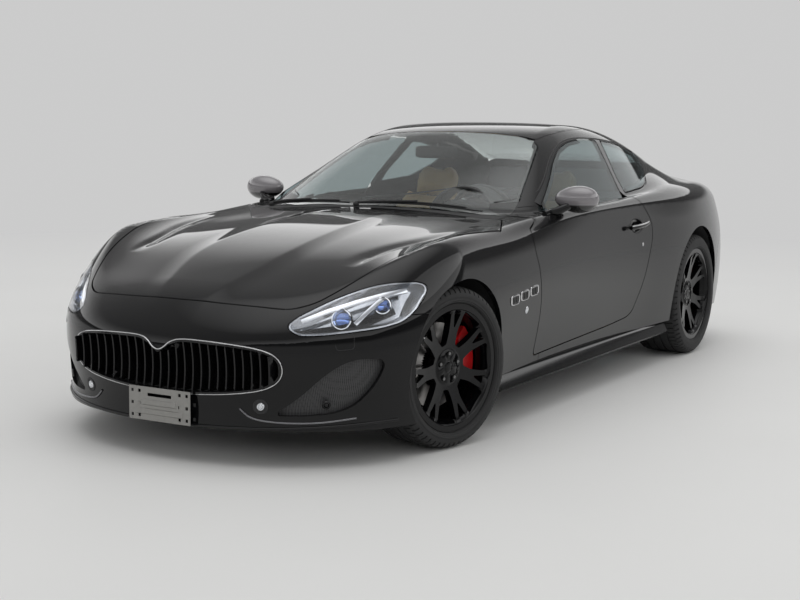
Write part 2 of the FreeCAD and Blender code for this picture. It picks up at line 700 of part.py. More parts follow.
# Bumpers
TIP_R = 46.0
TIP_Z = 262.0
TIP_X = [455.0, 560.0]
TIP_OTHER = [-x for x in TIP_X]
LINER_R = 408.0
LINER_T = 6.0
nose_top = smooth_line([(-80, 600), (-72, 602), (-65, 650), (-60, 705), (-56, 722), (-52, 715), (-44, 680),
                        (-33, 655), (-20, 655), (0, 662), (20, 655), (33, 655), (44, 680), (52, 715),
                        (56, 722), (60, 705), (65, 650), (72, 602), (80, 600)])
nose_rows = rows_round(900, -80, 80, 57, 150, nose_top, 26, 1)
lip_rows = rows_round(900, -80, 80, 57, 132, lambda t: 192, 6, 1)
bumper = slab(nose_rows, 0, BUMPER).fuse(slab(lip_rows, -16, 60))
both_arches = [front_arch, mirrored(front_arch)]
grille_hole = prism(GRILLE, front, -100, 420, SEAM_GAP)
intake_hole = prism(INTAKE, corner, 0, 1300)
bumper = bumper.cut([bonnet_hole, lamp_hole, mirrored(lamp_hole), wing_zone, mirrored(wing_zone),
                     grille_hole, intake_hole, mirrored(intake_hole)] + both_arches)
keep('front_bumper', solid_of(bumper))

tail_rows = rows_round(4000, -80, 80, 49, 236, lambda t: 880.0, 24, -1)
tail = slab(tail_rows, 0, BUMPER).common(prism(REAR_SEAM, side, -1100, 1100, -SEAM_GAP / 2))
tip_holes = [Part.makeCylinder(TIP_R + 8, 600, place(x, 4400, TIP_Z), V(0, 1, 0)) for x in TIP_X + TIP_OTHER]
tail = tail.cut([boot_hole, tail_hole, mirrored(tail_hole), rear_arch, mirrored(rear_arch)] + tip_holes)
keep('rear_bumper', solid_of(tail))

# Lamps
lamp_rows = rows_round(900, 30, 80, 22, 500, lambda t: 745.0, 18, 1)
lens = slab(lamp_rows, 1.0, 4.0).common(prism(LAMP, corner, 0, 1300))
keep('headlamp_lenses', both(solid_of(lens)))
LAMP_WALL = 5.5
LAMP_WELL = 50.0
BEHIND_LINER = LINER_R + LINER_T + SEAT_GAP
well = slab(lamp_rows, 2.0, LAMP_WELL).common(prism(LAMP, corner, 0, 1300, -LAMP_WALL))
well = well.cut([prism(BONNET, plan, 400, 1100, SHUT_GAP / 2 + LAMP_WALL),
                 cylinder_x(FRONT_AXLE, FRONT_ARCH_Z, BEHIND_LINER + LAMP_WALL, 300, 1100)])
tub = slab(lamp_rows, 5.3, 74.0).common(prism(LAMP, corner, 0, 1300))
tub = tub.cut([bonnet_hole, cylinder_x(FRONT_AXLE, FRONT_ARCH_Z, BEHIND_LINER, 300, 1100)]).cut(well)
keep('headlamp_units', both(solid_of(tub)))
tail_lamp_rows = rows_round(4000, 20, 72, 18, 780, lambda t: 960.0, 12, -1)
tail_lamp = slab(tail_lamp_rows, 1.0, 45.0).common(prism(TAIL_LAMP, tail_corner, 0, 1000, SEAM_GAP - 2 * SEAT_GAP))
keep('tail_lamps', both(solid_of(tail_lamp.cut(boot_hole))))

# Grille: ring, vertical blades with a hollow front line, and two bars behind them
BLADES = 12
RADIATOR_X = 372.0
BLADE_PITCH = 41.0
BLADE_T = 7.0
ring_zone = prism(GRILLE, front, -100, 420, SEAM_GAP - SEAT_GAP).cut(prism(GRILLE, front, -101, 421, -9.0))
grille_ring = solid_of(slab(nose_rows, -3.0, 34.0).common(ring_zone))
grille_window = prism(GRILLE, front, 60, 175, -6.0)
hollow = cylinder_x(-330.0, 372.0, 452.0, -600, 600)
blades = []
for i in range(-BLADES, BLADES + 1):
    x = i * BLADE_PITCH
    blades.append(box(x - BLADE_T / 2, x + BLADE_T / 2, 60, 190 + 0.00012 * x * x, 240, 520))
bars = [box(-500, 500, 168, 182, z, z + 14) for z in (318, 440)]
core = joined([b.common(grille_window).cut(hollow) for b in blades] + [b.common(grille_window) for b in bars])
keep('grille', grille_ring.fuse(core))
mesh = slab(nose_rows, BUMPER + SEAT_GAP, 5.0).common(prism(INTAKE, corner, 0, 1300, 12.0))
keep('intake_meshes', both(solid_of(mesh)))
keep('radiator', box(-RADIATOR_X, RADIATOR_X, 262, 312, 215, 560))

# Blank number plate bracket on two stays that meet the bumper
PLATE_Z = 223.0
plate = box(-166, 166, 22, 28, PLATE_Z - 78, PLATE_Z + 78)
holes = []
for x in (-150, 150):
    for z in (-62, 0, 62):
        holes.append(Part.makeCylinder(6, 20, place(x, 15, PLATE_Z + z), V(0, 1, 0)))
plate = plate.cut(holes)
stays = [box(x - 12, x + 12, 28, 140, PLATE_Z - 20, PLATE_Z + 10) for x in (-110, 110)]
nose_solid = slab(nose_rows, -SEAT_GAP, 90.0)
plate = plate.fuse([solid_of(k.cut(nose_solid)) for k in stays])
keep('number_plate_bracket', solid_of(plate))

# Wheels. A wheel is made about the X axis, with its outer face to +X, and then moved to its place


def tyre(radius, width):
    w = width / 2
    bead = w - 22
    heel = bead + 4 - SEAT_GAP
    half = [(heel, RIM_R + SEAT_GAP), (heel, FLANGE_R + 2), (w + 2, (radius + RIM_R) / 2 - 4),
            (w - 4, radius - 24), (w - 26, radius - 4), (0.62 * w, radius - 1.8), (0.3 * w, radius - 0.4)]
    points = [V(-a, 0, b) for a, b in half] + [V(0, 0, radius)] + [V(a, 0, b) for a, b in reversed(half)]
    curve = Part.BSplineCurve()
    curve.interpolate(points[1:-1])
    edges = [Part.makeLine(points[0], points[1]), curve.toShape(), Part.makeLine(points[-2], points[-1]),
             Part.makeLine(points[-1], points[0])]
    return Part.Face(Part.Wire(edges)).revolve(V(0, 0, 0), V(1, 0, 0), 360)


def turned(profile):
    """A solid turned about X from (x, radius) marks."""
    points = [V(a, 0, b) for a, b in profile]
    return Part.Face(Part.makePolygon(points + [points[0]])).revolve(V(0, 0, 0), V(1, 0, 0), 360)


def wheel_plane(a, b, depth):
    return V(depth, a, b)


def spoke_window(angle, marks):
    """Openings in the wheel's face are outlines in (along, across) the spoke's own direction."""
    c = math.cos(angle)
    s = math.sin(angle)
    out = [(m[0] * c - m[1] * s, m[0] * s + m[1] * c, m[2]) for m in marks]
    return prism(out, wheel_plane, -400, 400)


def rim(width, face, disc_x, disc_r):
    """Rim with a barrel, seven forked spokes, hub with five bolt holes, and the brake disc on its hat."""
    w = width / 2
    bead = w - 22
    barrel = turned([(-bead - 4, FLANGE_R), (-bead - 4, RIM_R), (-bead + 10, RIM_R - 1), (-bead + 30, RIM_R - 20),
                     (bead - 40, RIM_R - 20), (bead - 10, RIM_R - 1), (bead + 4, RIM_R), (bead + 4, FLANGE_R),
                     (bead + 9, FLANGE_R), (bead + 9, RIM_R - 10), (bead - 34, RIM_R - 28), (-bead + 26, RIM_R - 28),
                     (-bead, RIM_R - 9), (-bead - 9, RIM_R - 9), (-bead - 9, FLANGE_R)])
    dish = turned([(face - 46, 26), (face - 46, 78), (face - 42, 150), (bead - 30, RIM_R - 20), (bead + 4, RIM_R - 8),
                   (face + 4, 215), (face - 8, 150), (face - 16, 90), (face - 18, 74), (face - 14, 70),
                   (face - 14, 26)])
    step = 2 * math.pi / SPOKES
    wide = [(96, -14, 10), (140, -40, None), (232, -64, 14), (236, 0, None), (232, 64, 14), (140, 40, None),
            (96, 14, 10)]
    slot = [(158, 0, 4), (228, -22, 10), (230, 0, None), (228, 22, 10)]
    tools = []
    for i in range(SPOKES):
        tools.append(spoke_window((i + 0.1) * step, wide))
        tools.append(spoke_window((i + 0.6) * step, slot))
    for i in range(BOLTS):
        a = 2 * math.pi * (i + 0.25) / BOLTS
        tools.append(Part.makeCylinder(8.5, 60, V(face - 30, BOLT_CIRCLE_R * math.cos(a),
                                                 BOLT_CIRCLE_R * math.sin(a)), V(1, 0, 0)))
    spokes = dish.cut(tools)
    hat = turned([(disc_x - 16, 88), (disc_x - 16, disc_r), (disc_x + 16, disc_r), (disc_x + 16, 96),
                  (face - 45, 90), (face - 45, 26), (face - 55, 26), (face - 55, 80), (disc_x + 8, 88)])
    return barrel.fuse([spokes, hat])


def caliper(disc_x, disc_r, inner, outer):
    """A brake caliper that straddles the disc behind the axle line."""
    body = turned([(disc_x - 48, inner), (disc_x - 48, outer), (disc_x + 40, outer), (disc_x + 40, inner)])
    gap = turned([(disc_x - 22, 0), (disc_x - 22, disc_r + 6), (disc_x + 22, disc_r + 6), (disc_x + 22, 0)])
    span = math.radians(33)
    way = math.radians(12)
    far = 400.0
    wedge = [(0, 0, 0), (far * math.cos(way - span), far * math.sin(way - span), 0),
             (far * 1.4 * math.cos(way), far * 1.4 * math.sin(way), 0),
             (far * math.cos(way + span), far * math.sin(way + span), 0)]
    return solid_of(body.cut(gap).common(prism(wedge, wheel_plane, -400, 400)))


FRONT_X = FRONT_TRACK / 2
REAR_X = REAR_TRACK / 2
KINGPIN_X = 742.0
DISC_R = 180.0
FRONT_FACE = 92.0
REAR_FACE = 104.0
FRONT_DISC_X = -8.0
REAR_DISC_X = -10.0
AXLE_R = 26.0 - SEAT_GAP


def steered(shape, sign):
    """A piece of a front wheel in its place; both front wheels stand turned the same way."""
    out = shape.copy()
    out.translate(place(FRONT_X, FRONT_AXLE, FRONT_TYRE_R))
    if sign < 0:
        out = mirrored(out)
    out.rotate(place(KINGPIN_X * sign, FRONT_AXLE, FRONT_TYRE_R), V(0, 0, 1), STEER_AT_REST)
    return out


def steered_pair(name, shape):
    keep(name + '_left', steered(shape, 1))
    keep(name + '_right', steered(shape, -1))


def rear_placed(shape):
    out = shape.copy()
    out.translate(place(REAR_X, REAR_AXLE, REAR_TYRE_R))
    return out


steered_pair('front_tyre', tyre(FRONT_TYRE_R, FRONT_TYRE_W))
steered_pair('front_rim', rim(FRONT_TYRE_W, FRONT_FACE, FRONT_DISC_X, DISC_R))
pair('rear_tyre', rear_placed(tyre(REAR_TYRE_R, REAR_TYRE_W)))
pair('rear_rim', rear_placed(rim(REAR_TYRE_W, REAR_FACE, REAR_DISC_X, DISC_R - 10)))

# Knuckles: an upright behind the disc, the axle stub, and ball joint bosses on the kingpin line
front_brake = caliper(FRONT_DISC_X, DISC_R, 118, 216)
pin_x = KINGPIN_X - FRONT_X
upright = Part.makeBox(34, 80, 250, V(pin_x - 34, -40, -125))
stub = Part.makeCylinder(AXLE_R, FRONT_FACE - 17 - pin_x + 10, V(pin_x - 10, 0, 0), V(1, 0, 0))
bosses = [Part.makeCylinder(14, 30, V(pin_x, 0, z), V(0, 0, 1)) for z in (-128, 98)]
carrier = Part.makeBox(26, 70, 60, V(pin_x - 34, 30, -15))
bracket = Part.makeBox(18, 110, 60, V(FRONT_DISC_X - 48 - 10, 60, -10))
knuckle = joined([upright, stub, carrier, bracket] + bosses)
steered_pair('knuckle', knuckle.cut(front_brake))
steered_pair('front_caliper', front_brake)

# Layers that cover the panels' thickness, used to end a carrier just under them
def cover(rows, thickness):
    return slab(rows, -90.0, 90.0 + thickness + CURVE_GAP)


wing_cover = cover(rows_side(420, 1750, 18, lambda s: -40.0, lambda s: 46.0, 18), PANEL)
sill_cover = cover(rows_side(1380, 3450, 14, lambda s: -40.0, lambda s: 8.0, 10), PANEL)
quarter_cover = cover(rows_side(3300, 4400, 16, lambda s: -36.0, lambda s: 46.0, 16), PANEL)
nose_cover = cover(rows_round(900, -80, 80, 45, 160, nose_top, 18, 1), BUMPER)
tail_cover = cover(rows_round(4000, -80, 80, 33, 245, lambda t: 860.0, 16, -1), BUMPER)

# Floor, tunnel, bulkheads, sills, hinge pillars, aprons and boot floor
FLOOR_Z = 205.0
FLOOR_T = 18.0
CABIN_HALF = 690.0
REAR_HALF = 584.0
TUNNEL_X = 112.0
BOOT_FLOOR_Z = 400.0
SILL_X = 846.0
APRON_X = 470.0
WHEELHOUSE_X = 600.0


def strip(path, thickness, low, high):
    """A folded sheet: a side path of (station, z), thickened to one side, over x low to high."""
    left = []
    right = []
    n = len(path)
    for i in range(n):
        ax, ay = path[max(i - 1, 0)]
        bx, by = path[i]
        cx, cy = path[min(i + 1, n - 1)]
        dx, dy = cx - ax, cy - ay
        run = math.hypot(dx, dy)
        nx, ny = dy / run, -dx / run
        bend = 1.0
        if 0 < i < n - 1:
            ux, uy = (bx - ax) / math.hypot(bx - ax, by - ay), (by - ay) / math.hypot(bx - ax, by - ay)
            bend = 1.0 / max(0.5, abs(ux * dx / run + uy * dy / run))
        left.append((bx, by))
        right.append((bx + nx * thickness * bend, by + ny * thickness * bend))
    points = [place(low, a, b) for a, b in left + right[::-1]]
    face = Part.Face(Part.makePolygon(points + [points[0]]))
    return face.extrude(V(high - low, 0, 0))


def under(x, s, thickness, slack):
    """Height of a panel's underside over a point, less a slack for the panel's slope."""
    p = top_point(x, s)
    return p[2] - thickness / outward(p)[2] - slack


def post(x, s, r, low, thickness, slack=1.2):
    return Part.makeCylinder(r, under(x, s, thickness, slack) - low, place(x, s, low), V(0, 0, 1))


BULKHEAD_S = 1700.0
BULKHEAD_Z = 838.0
front_path = [(BULKHEAD_S, BULKHEAD_Z), (1420, BULKHEAD_Z), (1420, 420), (1600, FLOOR_Z), (3110, FLOOR_Z)]
front_floor = strip(front_path, FLOOR_T, -CABIN_HALF, CABIN_HALF)
rear_floor = strip([(3090, FLOOR_Z), (3130, 330), (3560, 330), (3700, 760), (3760, 905)], FLOOR_T,
                   -REAR_HALF, REAR_HALF)
boot_floor = strip([(3585, BOOT_FLOOR_Z), (4660, BOOT_FLOOR_Z), (4700, 560)], FLOOR_T, -REAR_HALF, REAR_HALF)
tunnel = box(-TUNNEL_X, TUNNEL_X, 1440, 3120, FLOOR_Z - 10, 400)
tunnel = tunnel.cut(box(18 - TUNNEL_X, TUNNEL_X - 18, 1400, 3140, 100, 382))
SHELF_HALF = REAR_HALF - 40
shelf = strip([(3750, 896), (3990, 930), (4066, under(SHELF_HALF, 4066, BONNET_T, CURVE_GAP))], 8.0,
              -SHELF_HALF, SHELF_HALF)
sill = box(CABIN_HALF - 20, SILL_X - SEAT_GAP, 1400, 3400, FLOOR_Z - FLOOR_T, 240)
sill_top = solid_of(box(CABIN_HALF - 20, 905, 1400, 3400, SILL_Z, 268).cut(sill_cover))
pillar = box(700, 800, 1480, 1600, 260, BULKHEAD_Z + FLOOR_T)
hinges = [box(790, 852, 1560, 1800, z, z + 60).cut(prism(DOOR, side, 500, 1100, CURVE_GAP - DOOR_STEP))
          for z in (380, 700)]
apron = box(APRON_X - 25, APRON_X - SEAT_GAP, 420, 1430, 250, 640)
apron = apron.fuse(box(APRON_X - 25, APRON_X - SEAT_GAP, 660, 1430, 600, 760))
apron = apron.cut(box(APRON_X - 40, APRON_X + 10, 750, 1055, 440, 510))
can = box(RADIATOR_X + SEAT_GAP, 420, 100, 440, 225, 275).cut(nose_cover)
can_root = box(RADIATOR_X + SEAT_GAP, APRON_X - SEAT_GAP, 400, 440, 225, 300)
buffer = post(APRON_X - 13, 1300, 12, 750, BONNET_T, 1.6)
cowl_post = post(300, 1686, 8, BULKHEAD_Z + 7, PANEL, 1.6)
wheelhouse = box(WHEELHOUSE_X - 18, WHEELHOUSE_X - SEAT_GAP, 3440, 4260, 256, 762)
wheelhouse = wheelhouse.cut(box(WHEELHOUSE_X - 30, WHEELHOUSE_X + 10, 3670, 4020, 320, 500))
rear_can = solid_of(box(250, 290, 4670, 5000, 470, 520).cut(tail_cover))
left_parts = [sill, sill_top, pillar, solid_of(can), can_root, apron, buffer, cowl_post, wheelhouse, rear_can]
left_parts += [solid_of(k) for k in hinges]
floor_parts = [front_floor, rear_floor, boot_floor, tunnel, shelf] + left_parts + [mirrored(k) for k in left_parts]
keep('floor_pan', joined(floor_parts))

# Wheel arch liners reach from the inner structure to the wings, clear of the tyres at full lock
liner = tube_x(FRONT_AXLE, FRONT_ARCH_Z, LINER_R, LINER_R + LINER_T, APRON_X, 960)
liner = liner.common(box(400, 1000, 400, 1500, 250, 900)).cut([wing_cover, nose_cover])
keep('front_liners', both(solid_of(liner)))
rear_liner = tube_x(REAR_ARCH_S, REAR_ARCH_Z, REAR_ARCH_R + 2, REAR_ARCH_R + 8, WHEELHOUSE_X, 970)
rear_liner = rear_liner.common(box(500, 1000, 3300, 4400, 250, 900)).cut([quarter_cover, tail_cover])
keep('rear_liners', both(solid_of(rear_liner)))

# Engine block and suspension
keep('engine_block', box(-330, 330, 690, 1330, 250, 720))


def wishbone(z, apex_x, base_x, s, spread_s, thick):
    marks = [(apex_x, s - 16), (apex_x + 12, s), (apex_x, s + 16), (base_x, s + spread_s),
             (base_x, s + spread_s - 46), (base_x + 0.45 * (apex_x - base_x), s), (base_x, s - spread_s + 46),
             (base_x, s - spread_s)]
    return extruded(marks, plan, z, z + thick)


arm_low = FRONT_TYRE_R - 128.0 - SEAT_GAP - 16.0
arm_high = FRONT_TYRE_R + 128.0 + SEAT_GAP
arms = [wishbone(z, KINGPIN_X, 400, FRONT_AXLE, 130, 16) for z in (arm_low, arm_high)]
rails = [box(350, 404, 560, 1250, z, z + 60) for z in (arm_low - 20, arm_high - 20)]
posts = [box(350, 404, s, s + 50, arm_low, arm_high) for s in (600, 1180)]
engine_mount = box(330 + SEAT_GAP, 352, 1100, 1180, arm_high - 20, arm_high + 30)
frame_mount = box(402, APRON_X - 25 - SEAT_GAP, 560, 640, arm_high - 20, arm_high + 40)
left_frame = joined(arms + rails + posts + [engine_mount, frame_mount])
cross = box(-352, 352, 590, 640, arm_low - 20, arm_low + 40)
keep('front_subframe', joined([left_frame, mirrored(left_frame), cross]))

axle_z = REAR_TYRE_R
hub_out = REAR_X + REAR_FACE - 14.5 - 4
stub = cylinder_x(REAR_AXLE, axle_z, AXLE_R, 560, hub_out)
post_box = box(700, 745, REAR_AXLE - 50, REAR_AXLE + 50, axle_z - 130, axle_z + 130)
rear_bracket = box(700, REAR_X + REAR_DISC_X - 48 - SEAT_GAP, REAR_AXLE + 40, REAR_AXLE + 160, axle_z - 30,
                   axle_z + 40)
rear_caliper = rear_placed(caliper(REAR_DISC_X, DISC_R - 10, 112, 206))
low_arm = wishbone(axle_z - 118, 712, 330, REAR_AXLE, 150, 16)
high_arm = wishbone(axle_z + 96, 712, 612, REAR_AXLE, 60, 16)
tower = box(606, 640, REAR_AXLE - 60, REAR_AXLE + 60, axle_z - 110, axle_z + 104)
shaft = cylinder_x(REAR_AXLE, axle_z, 20, 150, 702)
frame_rail = box(290, 340, 3660, 4180, axle_z - 130, BOOT_FLOOR_Z - FLOOR_T - SEAT_GAP)
left_rear = joined([stub, post_box, rear_bracket, shaft, frame_rail, low_arm, high_arm, tower])
casing = box(-150, 150, REAR_AXLE - 150, REAR_AXLE + 150, axle_z - 110, BOOT_FLOOR_Z - FLOOR_T - 10)
cross_bars = [box(-292, 292, s, s + 40, axle_z - 120, axle_z - 80) for s in (3690, 4030)]
keep('rear_subframe', joined([left_rear, mirrored(left_rear), casing] + cross_bars))
keep('rear_calipers', both(rear_caliper))

# Exhaust: boxes under the boot and two tips each side
tips = []
for x in TIP_X:
    tip = Part.makeCylinder(TIP_R, 260, place(x, 4640, TIP_Z), V(0, 1, 0))
    tips.append(tip.cut(Part.makeCylinder(TIP_R - 5, 200, place(x, 4720, TIP_Z), V(0, 1, 0))))
silencer = box(400, 620, 4300, 4650, 205, 320)
hanger = box(480, 540, 4440, 4500, 315, BOOT_FLOOR_Z - FLOOR_T - SEAT_GAP)
keep('exhaust', both(joined([silencer, hanger] + tips)))

# Side skirts
skirt = extruded([(SILL_X, 168), (905, 172), (912, 182), (893, 226), (884, 236), (SILL_X, 236)],
                 lambda a, b, d: place(a, d, b), 1290, 3430)
keep('side_skirts', both(skirt))

# Dashboard, console and steering column
dash_front = BULKHEAD_S + SEAT_GAP
dash = extruded([(dash_front, 560), (dash_front, 880), (1900, 912), (2030, 900), (2075, 850), (2060, 760),
                 (1980, 640)], side, -680, 680)
hood = Part.makeCylinder(170, 190, place(370, 1880, 800), V(0, 1, 0)).common(box(150, 600, 1800, 2200, 860, 1000))
console = box(-105, 105, 1900, 2760, 400 + SEAT_GAP, 620)
WHEEL_TILT = math.radians(22)
STEERING_RATIO = 14.0
COLUMN_R = 18.0
steer_axis = V(0, math.cos(WHEEL_TILT), math.sin(WHEEL_TILT))
steer_up = V(0, -math.sin(WHEEL_TILT), math.cos(WHEEL_TILT))
steer_centre = place(370, 2190, 862)
bore = Part.makeCylinder(COLUMN_R + SEAT_GAP, 400, steer_centre - steer_axis * 400, steer_axis)
keep('dashboard', solid_of(joined([dash, hood, console]).cut(bore)))
wheel_ring = Part.makeTorus(178, 15, steer_centre, steer_axis)
hub = Part.makeCylinder(62, 40, steer_centre - steer_axis * 45, steer_axis)
spoke_arms = []
for a in (0, math.pi, -math.pi / 2):
    a += math.radians(STEER_AT_REST * STEERING_RATIO)
    way = V(1, 0, 0) * math.cos(a) + steer_up * math.sin(a)
    spoke_arms.append(Part.makeCylinder(12, 150, steer_centre + way * 25 - steer_axis * 12, way))
column = Part.makeCylinder(COLUMN_R, 180, steer_centre - steer_axis * 200, steer_axis)
keep('steering_wheel', joined([wheel_ring, hub, column] + spoke_arms))

# Seats


def soft(x0, x1, s0, s1, z0, z1, r):
    block = box(x0, x1, s0, s1, z0, z1)
    return block.makeFillet(r, block.Edges)


def leaned(shape, s, z, angle):
    out = shape.copy()
    out.rotate(place(0, s, z), V(1, 0, 0), angle)
    return out


SEAT_X = 370.0
cushion = soft(SEAT_X - 250, SEAT_X + 250, 2330, 2860, 330, 480, 45)
base = box(SEAT_X - 190, SEAT_X + 190, 2380, 2800, FLOOR_Z + SEAT_GAP, 340)
back = leaned(soft(SEAT_X - 240, SEAT_X + 240, 2790, 2910, 400, 980, 45), 2850, 430, -18)
rest = leaned(soft(SEAT_X - 130, SEAT_X + 130, 2800, 2900, 940, 1130, 45), 2850, 430, -18)
pair('front_seat', joined([cushion, base, back, rest]))
rear_cushion = soft(90, 520, 3150, 3590, 340, 480, 45)
rear_back = leaned(soft(90, 520, 3560, 3680, 400, 960, 45), 3620, 430, -20)
rear_seat = rear_cushion.fuse(rear_back)
rear_seat = solid_of(rear_seat.cut([rear_floor, shelf]))
rear_seat.translate(V(0, -SEAT_GAP, SEAT_GAP))
rear_seat = solid_of(rear_seat.cut(box(0, REAR_HALF, 3735, 4000, 884, 1100)))
keep('rear_seats', both(rear_seat))

# Door mirrors
MIRROR_HALF = 112.0
MIRROR_R = 66.0
MIRROR_RIM = 26.0
oval = Part.Ellipse(V(0, 0, 0), MIRROR_HALF, MIRROR_R)
arc = Part.ArcOfEllipse(oval, 0, math.pi).toBSpline().toShape()
chord = Part.makeLine(V(-MIRROR_HALF, 0, 0), V(MIRROR_HALF, 0, 0))
half = Part.Face(Part.Wire([arc, chord]))
half.rotate(V(0, 0, 0), V(1, 0, 0), 90)
dome = half.revolve(V(0, 0, 0), V(1, 0, 0), 180)
rim = Part.Face(Part.Wire([oval.toShape()]))
rim.rotate(V(0, 0, 0), V(1, 0, 0), 90)
cap = dome.fuse(rim.extrude(V(0, MIRROR_RIM, 0)))
cap.translate(place(916, 2070, 988))
foot = extruded([(806, 880), (812, 934), (850, 950), (905, 985), (930, 965), (880, 920), (862, 880)],
                lambda a, b, d: place(a, d, b), 1905, 2040)

door_cover = slab([row[8:] for row in door_grid(sill_angle, belt_angle, 30, 30)[4:12]], -SEAT_GAP * 2, 60.0,
                  low_form)
mirror = solid_of(cap.fuse(foot).cut(door_cover))
mirror.translate(V(SEAT_GAP, 0, 2 * SEAT_GAP))
pair('door_mirror', mirror)


os.makedirs('parts', exist_ok=True)
for name, shape in nodes.items():
    shape.exportStep('parts/%s.step' % name)
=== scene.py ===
import json
import math

import bmesh
import bpy
import numpy as np
from mathutils import Matrix, Vector


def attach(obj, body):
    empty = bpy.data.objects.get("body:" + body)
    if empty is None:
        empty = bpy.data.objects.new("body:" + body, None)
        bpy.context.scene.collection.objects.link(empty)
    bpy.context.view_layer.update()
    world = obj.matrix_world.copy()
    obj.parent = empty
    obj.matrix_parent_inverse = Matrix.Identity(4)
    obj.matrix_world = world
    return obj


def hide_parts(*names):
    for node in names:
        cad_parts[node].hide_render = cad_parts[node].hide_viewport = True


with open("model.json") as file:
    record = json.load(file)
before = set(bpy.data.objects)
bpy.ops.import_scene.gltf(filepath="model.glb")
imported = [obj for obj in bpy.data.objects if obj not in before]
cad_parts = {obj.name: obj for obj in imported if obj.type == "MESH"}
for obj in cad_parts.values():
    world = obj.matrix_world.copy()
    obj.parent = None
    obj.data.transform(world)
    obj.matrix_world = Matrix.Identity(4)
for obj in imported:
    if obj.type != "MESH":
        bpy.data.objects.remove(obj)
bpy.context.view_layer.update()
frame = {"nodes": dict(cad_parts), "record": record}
nodes = frame["nodes"]

# The car is LENGTH long with its origin under its middle, so a station s from the nose lies at y = s - HALF
HALF = 2455.0


# Camera at the photograph's angle, for an image of 800 by 600: its place in metres and its turns in radians
EYE = (3.6216, -6.7342, 1.3547)
YAW, PITCH, ROLL = -0.525677, -0.125330, 0.009887
LENS_MM = 64.02
FILM_MM = 36.0
SIGHT = 60.0


def set_camera():
    forward = Vector((math.cos(PITCH) * math.sin(YAW), math.cos(PITCH) * math.cos(YAW), math.sin(PITCH)))
    right = forward.cross(Vector((0, 0, 1))).normalized()
    up = right.cross(forward)
    right, up = math.cos(ROLL) * right + math.sin(ROLL) * up, math.cos(ROLL) * up - math.sin(ROLL) * right
    turn = Matrix((right, up, -forward)).transposed().to_4x4()
    data = bpy.data.cameras.new("camera")
    data.lens = LENS_MM
    data.sensor_width = FILM_MM
    data.clip_end = SIGHT
    camera = bpy.data.objects.new("camera", data)
    camera.matrix_world = Matrix.Translation(EYE) @ turn
    bpy.context.scene.collection.objects.link(camera)
    bpy.context.scene.camera = camera


def node_in(tree, kind, **values):
    """A node with its inputs and settings: numbers go to sockets of that name, other words to settings."""
    made = tree.nodes.new(kind)
    for key, value in values.items():
        name = key.replace("_", " ")
        socket = next((k for k in made.inputs if k.name.lower() == name), None)
        if socket is None:
            setattr(made, key, value)
        else:
            socket.default_value = value
    return made


def ramp(tree, source, stops):
    made = tree.nodes.new("ShaderNodeValToRGB")
    while len(made.color_ramp.elements) < len(stops):
        made.color_ramp.elements.new(0.5)
    for mark, (place, value) in zip(made.color_ramp.elements, stops):
        mark.position = place
        mark.color = (value, value, value, 1) if isinstance(value, (int, float)) else (*value, 1)
    tree.links.new(source, made.inputs["Fac"])
    return made.outputs["Color"]


# Studio: a pale floor that runs into a pale backdrop, room light in bands and one broad side lamp
BACKDROP = 0.6
FLOOR_SIZE = 60
# The room's brightness from the floor (0) to straight up (1): backdrop, dark band, bright band and ceiling
ROOM = [(0.0, BACKDROP), (0.09, BACKDROP), (0.16, 0.12), (0.262, 0.1), (0.272, 1.7), (0.36, 1.3), (0.56, 0.4),
        (0.78, 0.45), (1.0, 2.1)]
LAMP_SIZE = (5.0, 1.6)
LAMP_POWER = 26
LAMP_AT = (4.4, 0.8, 3.2)
LAMP_AIM = (0.6, -0.2, 0.6)


def add_lamp():
    data = bpy.data.lights.new("left_side", "AREA")
    data.shape = "RECTANGLE"
    data.size, data.size_y = LAMP_SIZE
    data.energy = LAMP_POWER
    lamp = bpy.data.objects.new("left_side", data)
    lamp.location = LAMP_AT
    lamp.rotation_euler = (Vector(LAMP_AIM) - Vector(LAMP_AT)).to_track_quat("-Z", "Y").to_euler()
    bpy.context.scene.collection.objects.link(lamp)


def set_studio():
    bpy.ops.mesh.primitive_plane_add(size=FLOOR_SIZE, location=(0, 0, 0))
    floor = bpy.context.object
    floor.name = "studio_floor"
    floor.data.materials.append(floor_finish())
    world = bpy.data.worlds.new("studio")
    bpy.context.scene.world = world
    world.use_nodes = True
    tree = world.node_tree
    tree.nodes.clear()
    where = tree.nodes.new("ShaderNodeTexCoord")
    split = tree.nodes.new("ShaderNodeSeparateXYZ")
    tree.links.new(where.outputs["Generated"], split.inputs[0])
    light = node_in(tree, "ShaderNodeBackground", strength=1.0)
    out = tree.nodes.new("ShaderNodeOutputWorld")
    tree.links.new(ramp(tree, split.outputs["Z"], ROOM), light.inputs["Color"])
    tree.links.new(light.outputs[0], out.inputs["Surface"])
    add_lamp()
    bpy.context.scene.view_settings.view_transform = "Standard"


# Effects that several finishes share
def new_group(name, inputs, outputs):
    group = bpy.data.node_groups.new(name, "ShaderNodeTree")
    for label, kind, value in inputs:
        socket = group.interface.new_socket(label, in_out="INPUT", socket_type=kind)
        if value is not None:
            socket.default_value = value
    for label, kind in outputs:
        group.interface.new_socket(label, in_out="OUTPUT", socket_type=kind)
    return group, group.nodes.new("NodeGroupInput"), group.nodes.new("NodeGroupOutput")


def math_node(tree, operation, a, b=0.0, clamp=False):
    made = tree.nodes.new("ShaderNodeMath")
    made.operation = operation
    made.use_clamp = clamp
    for socket, value in ((made.inputs[0], a), (made.inputs[1], b)):
        if isinstance(value, (int, float)):
            socket.default_value = value
        else:
            tree.links.new(value, socket)
    return made.outputs[0]


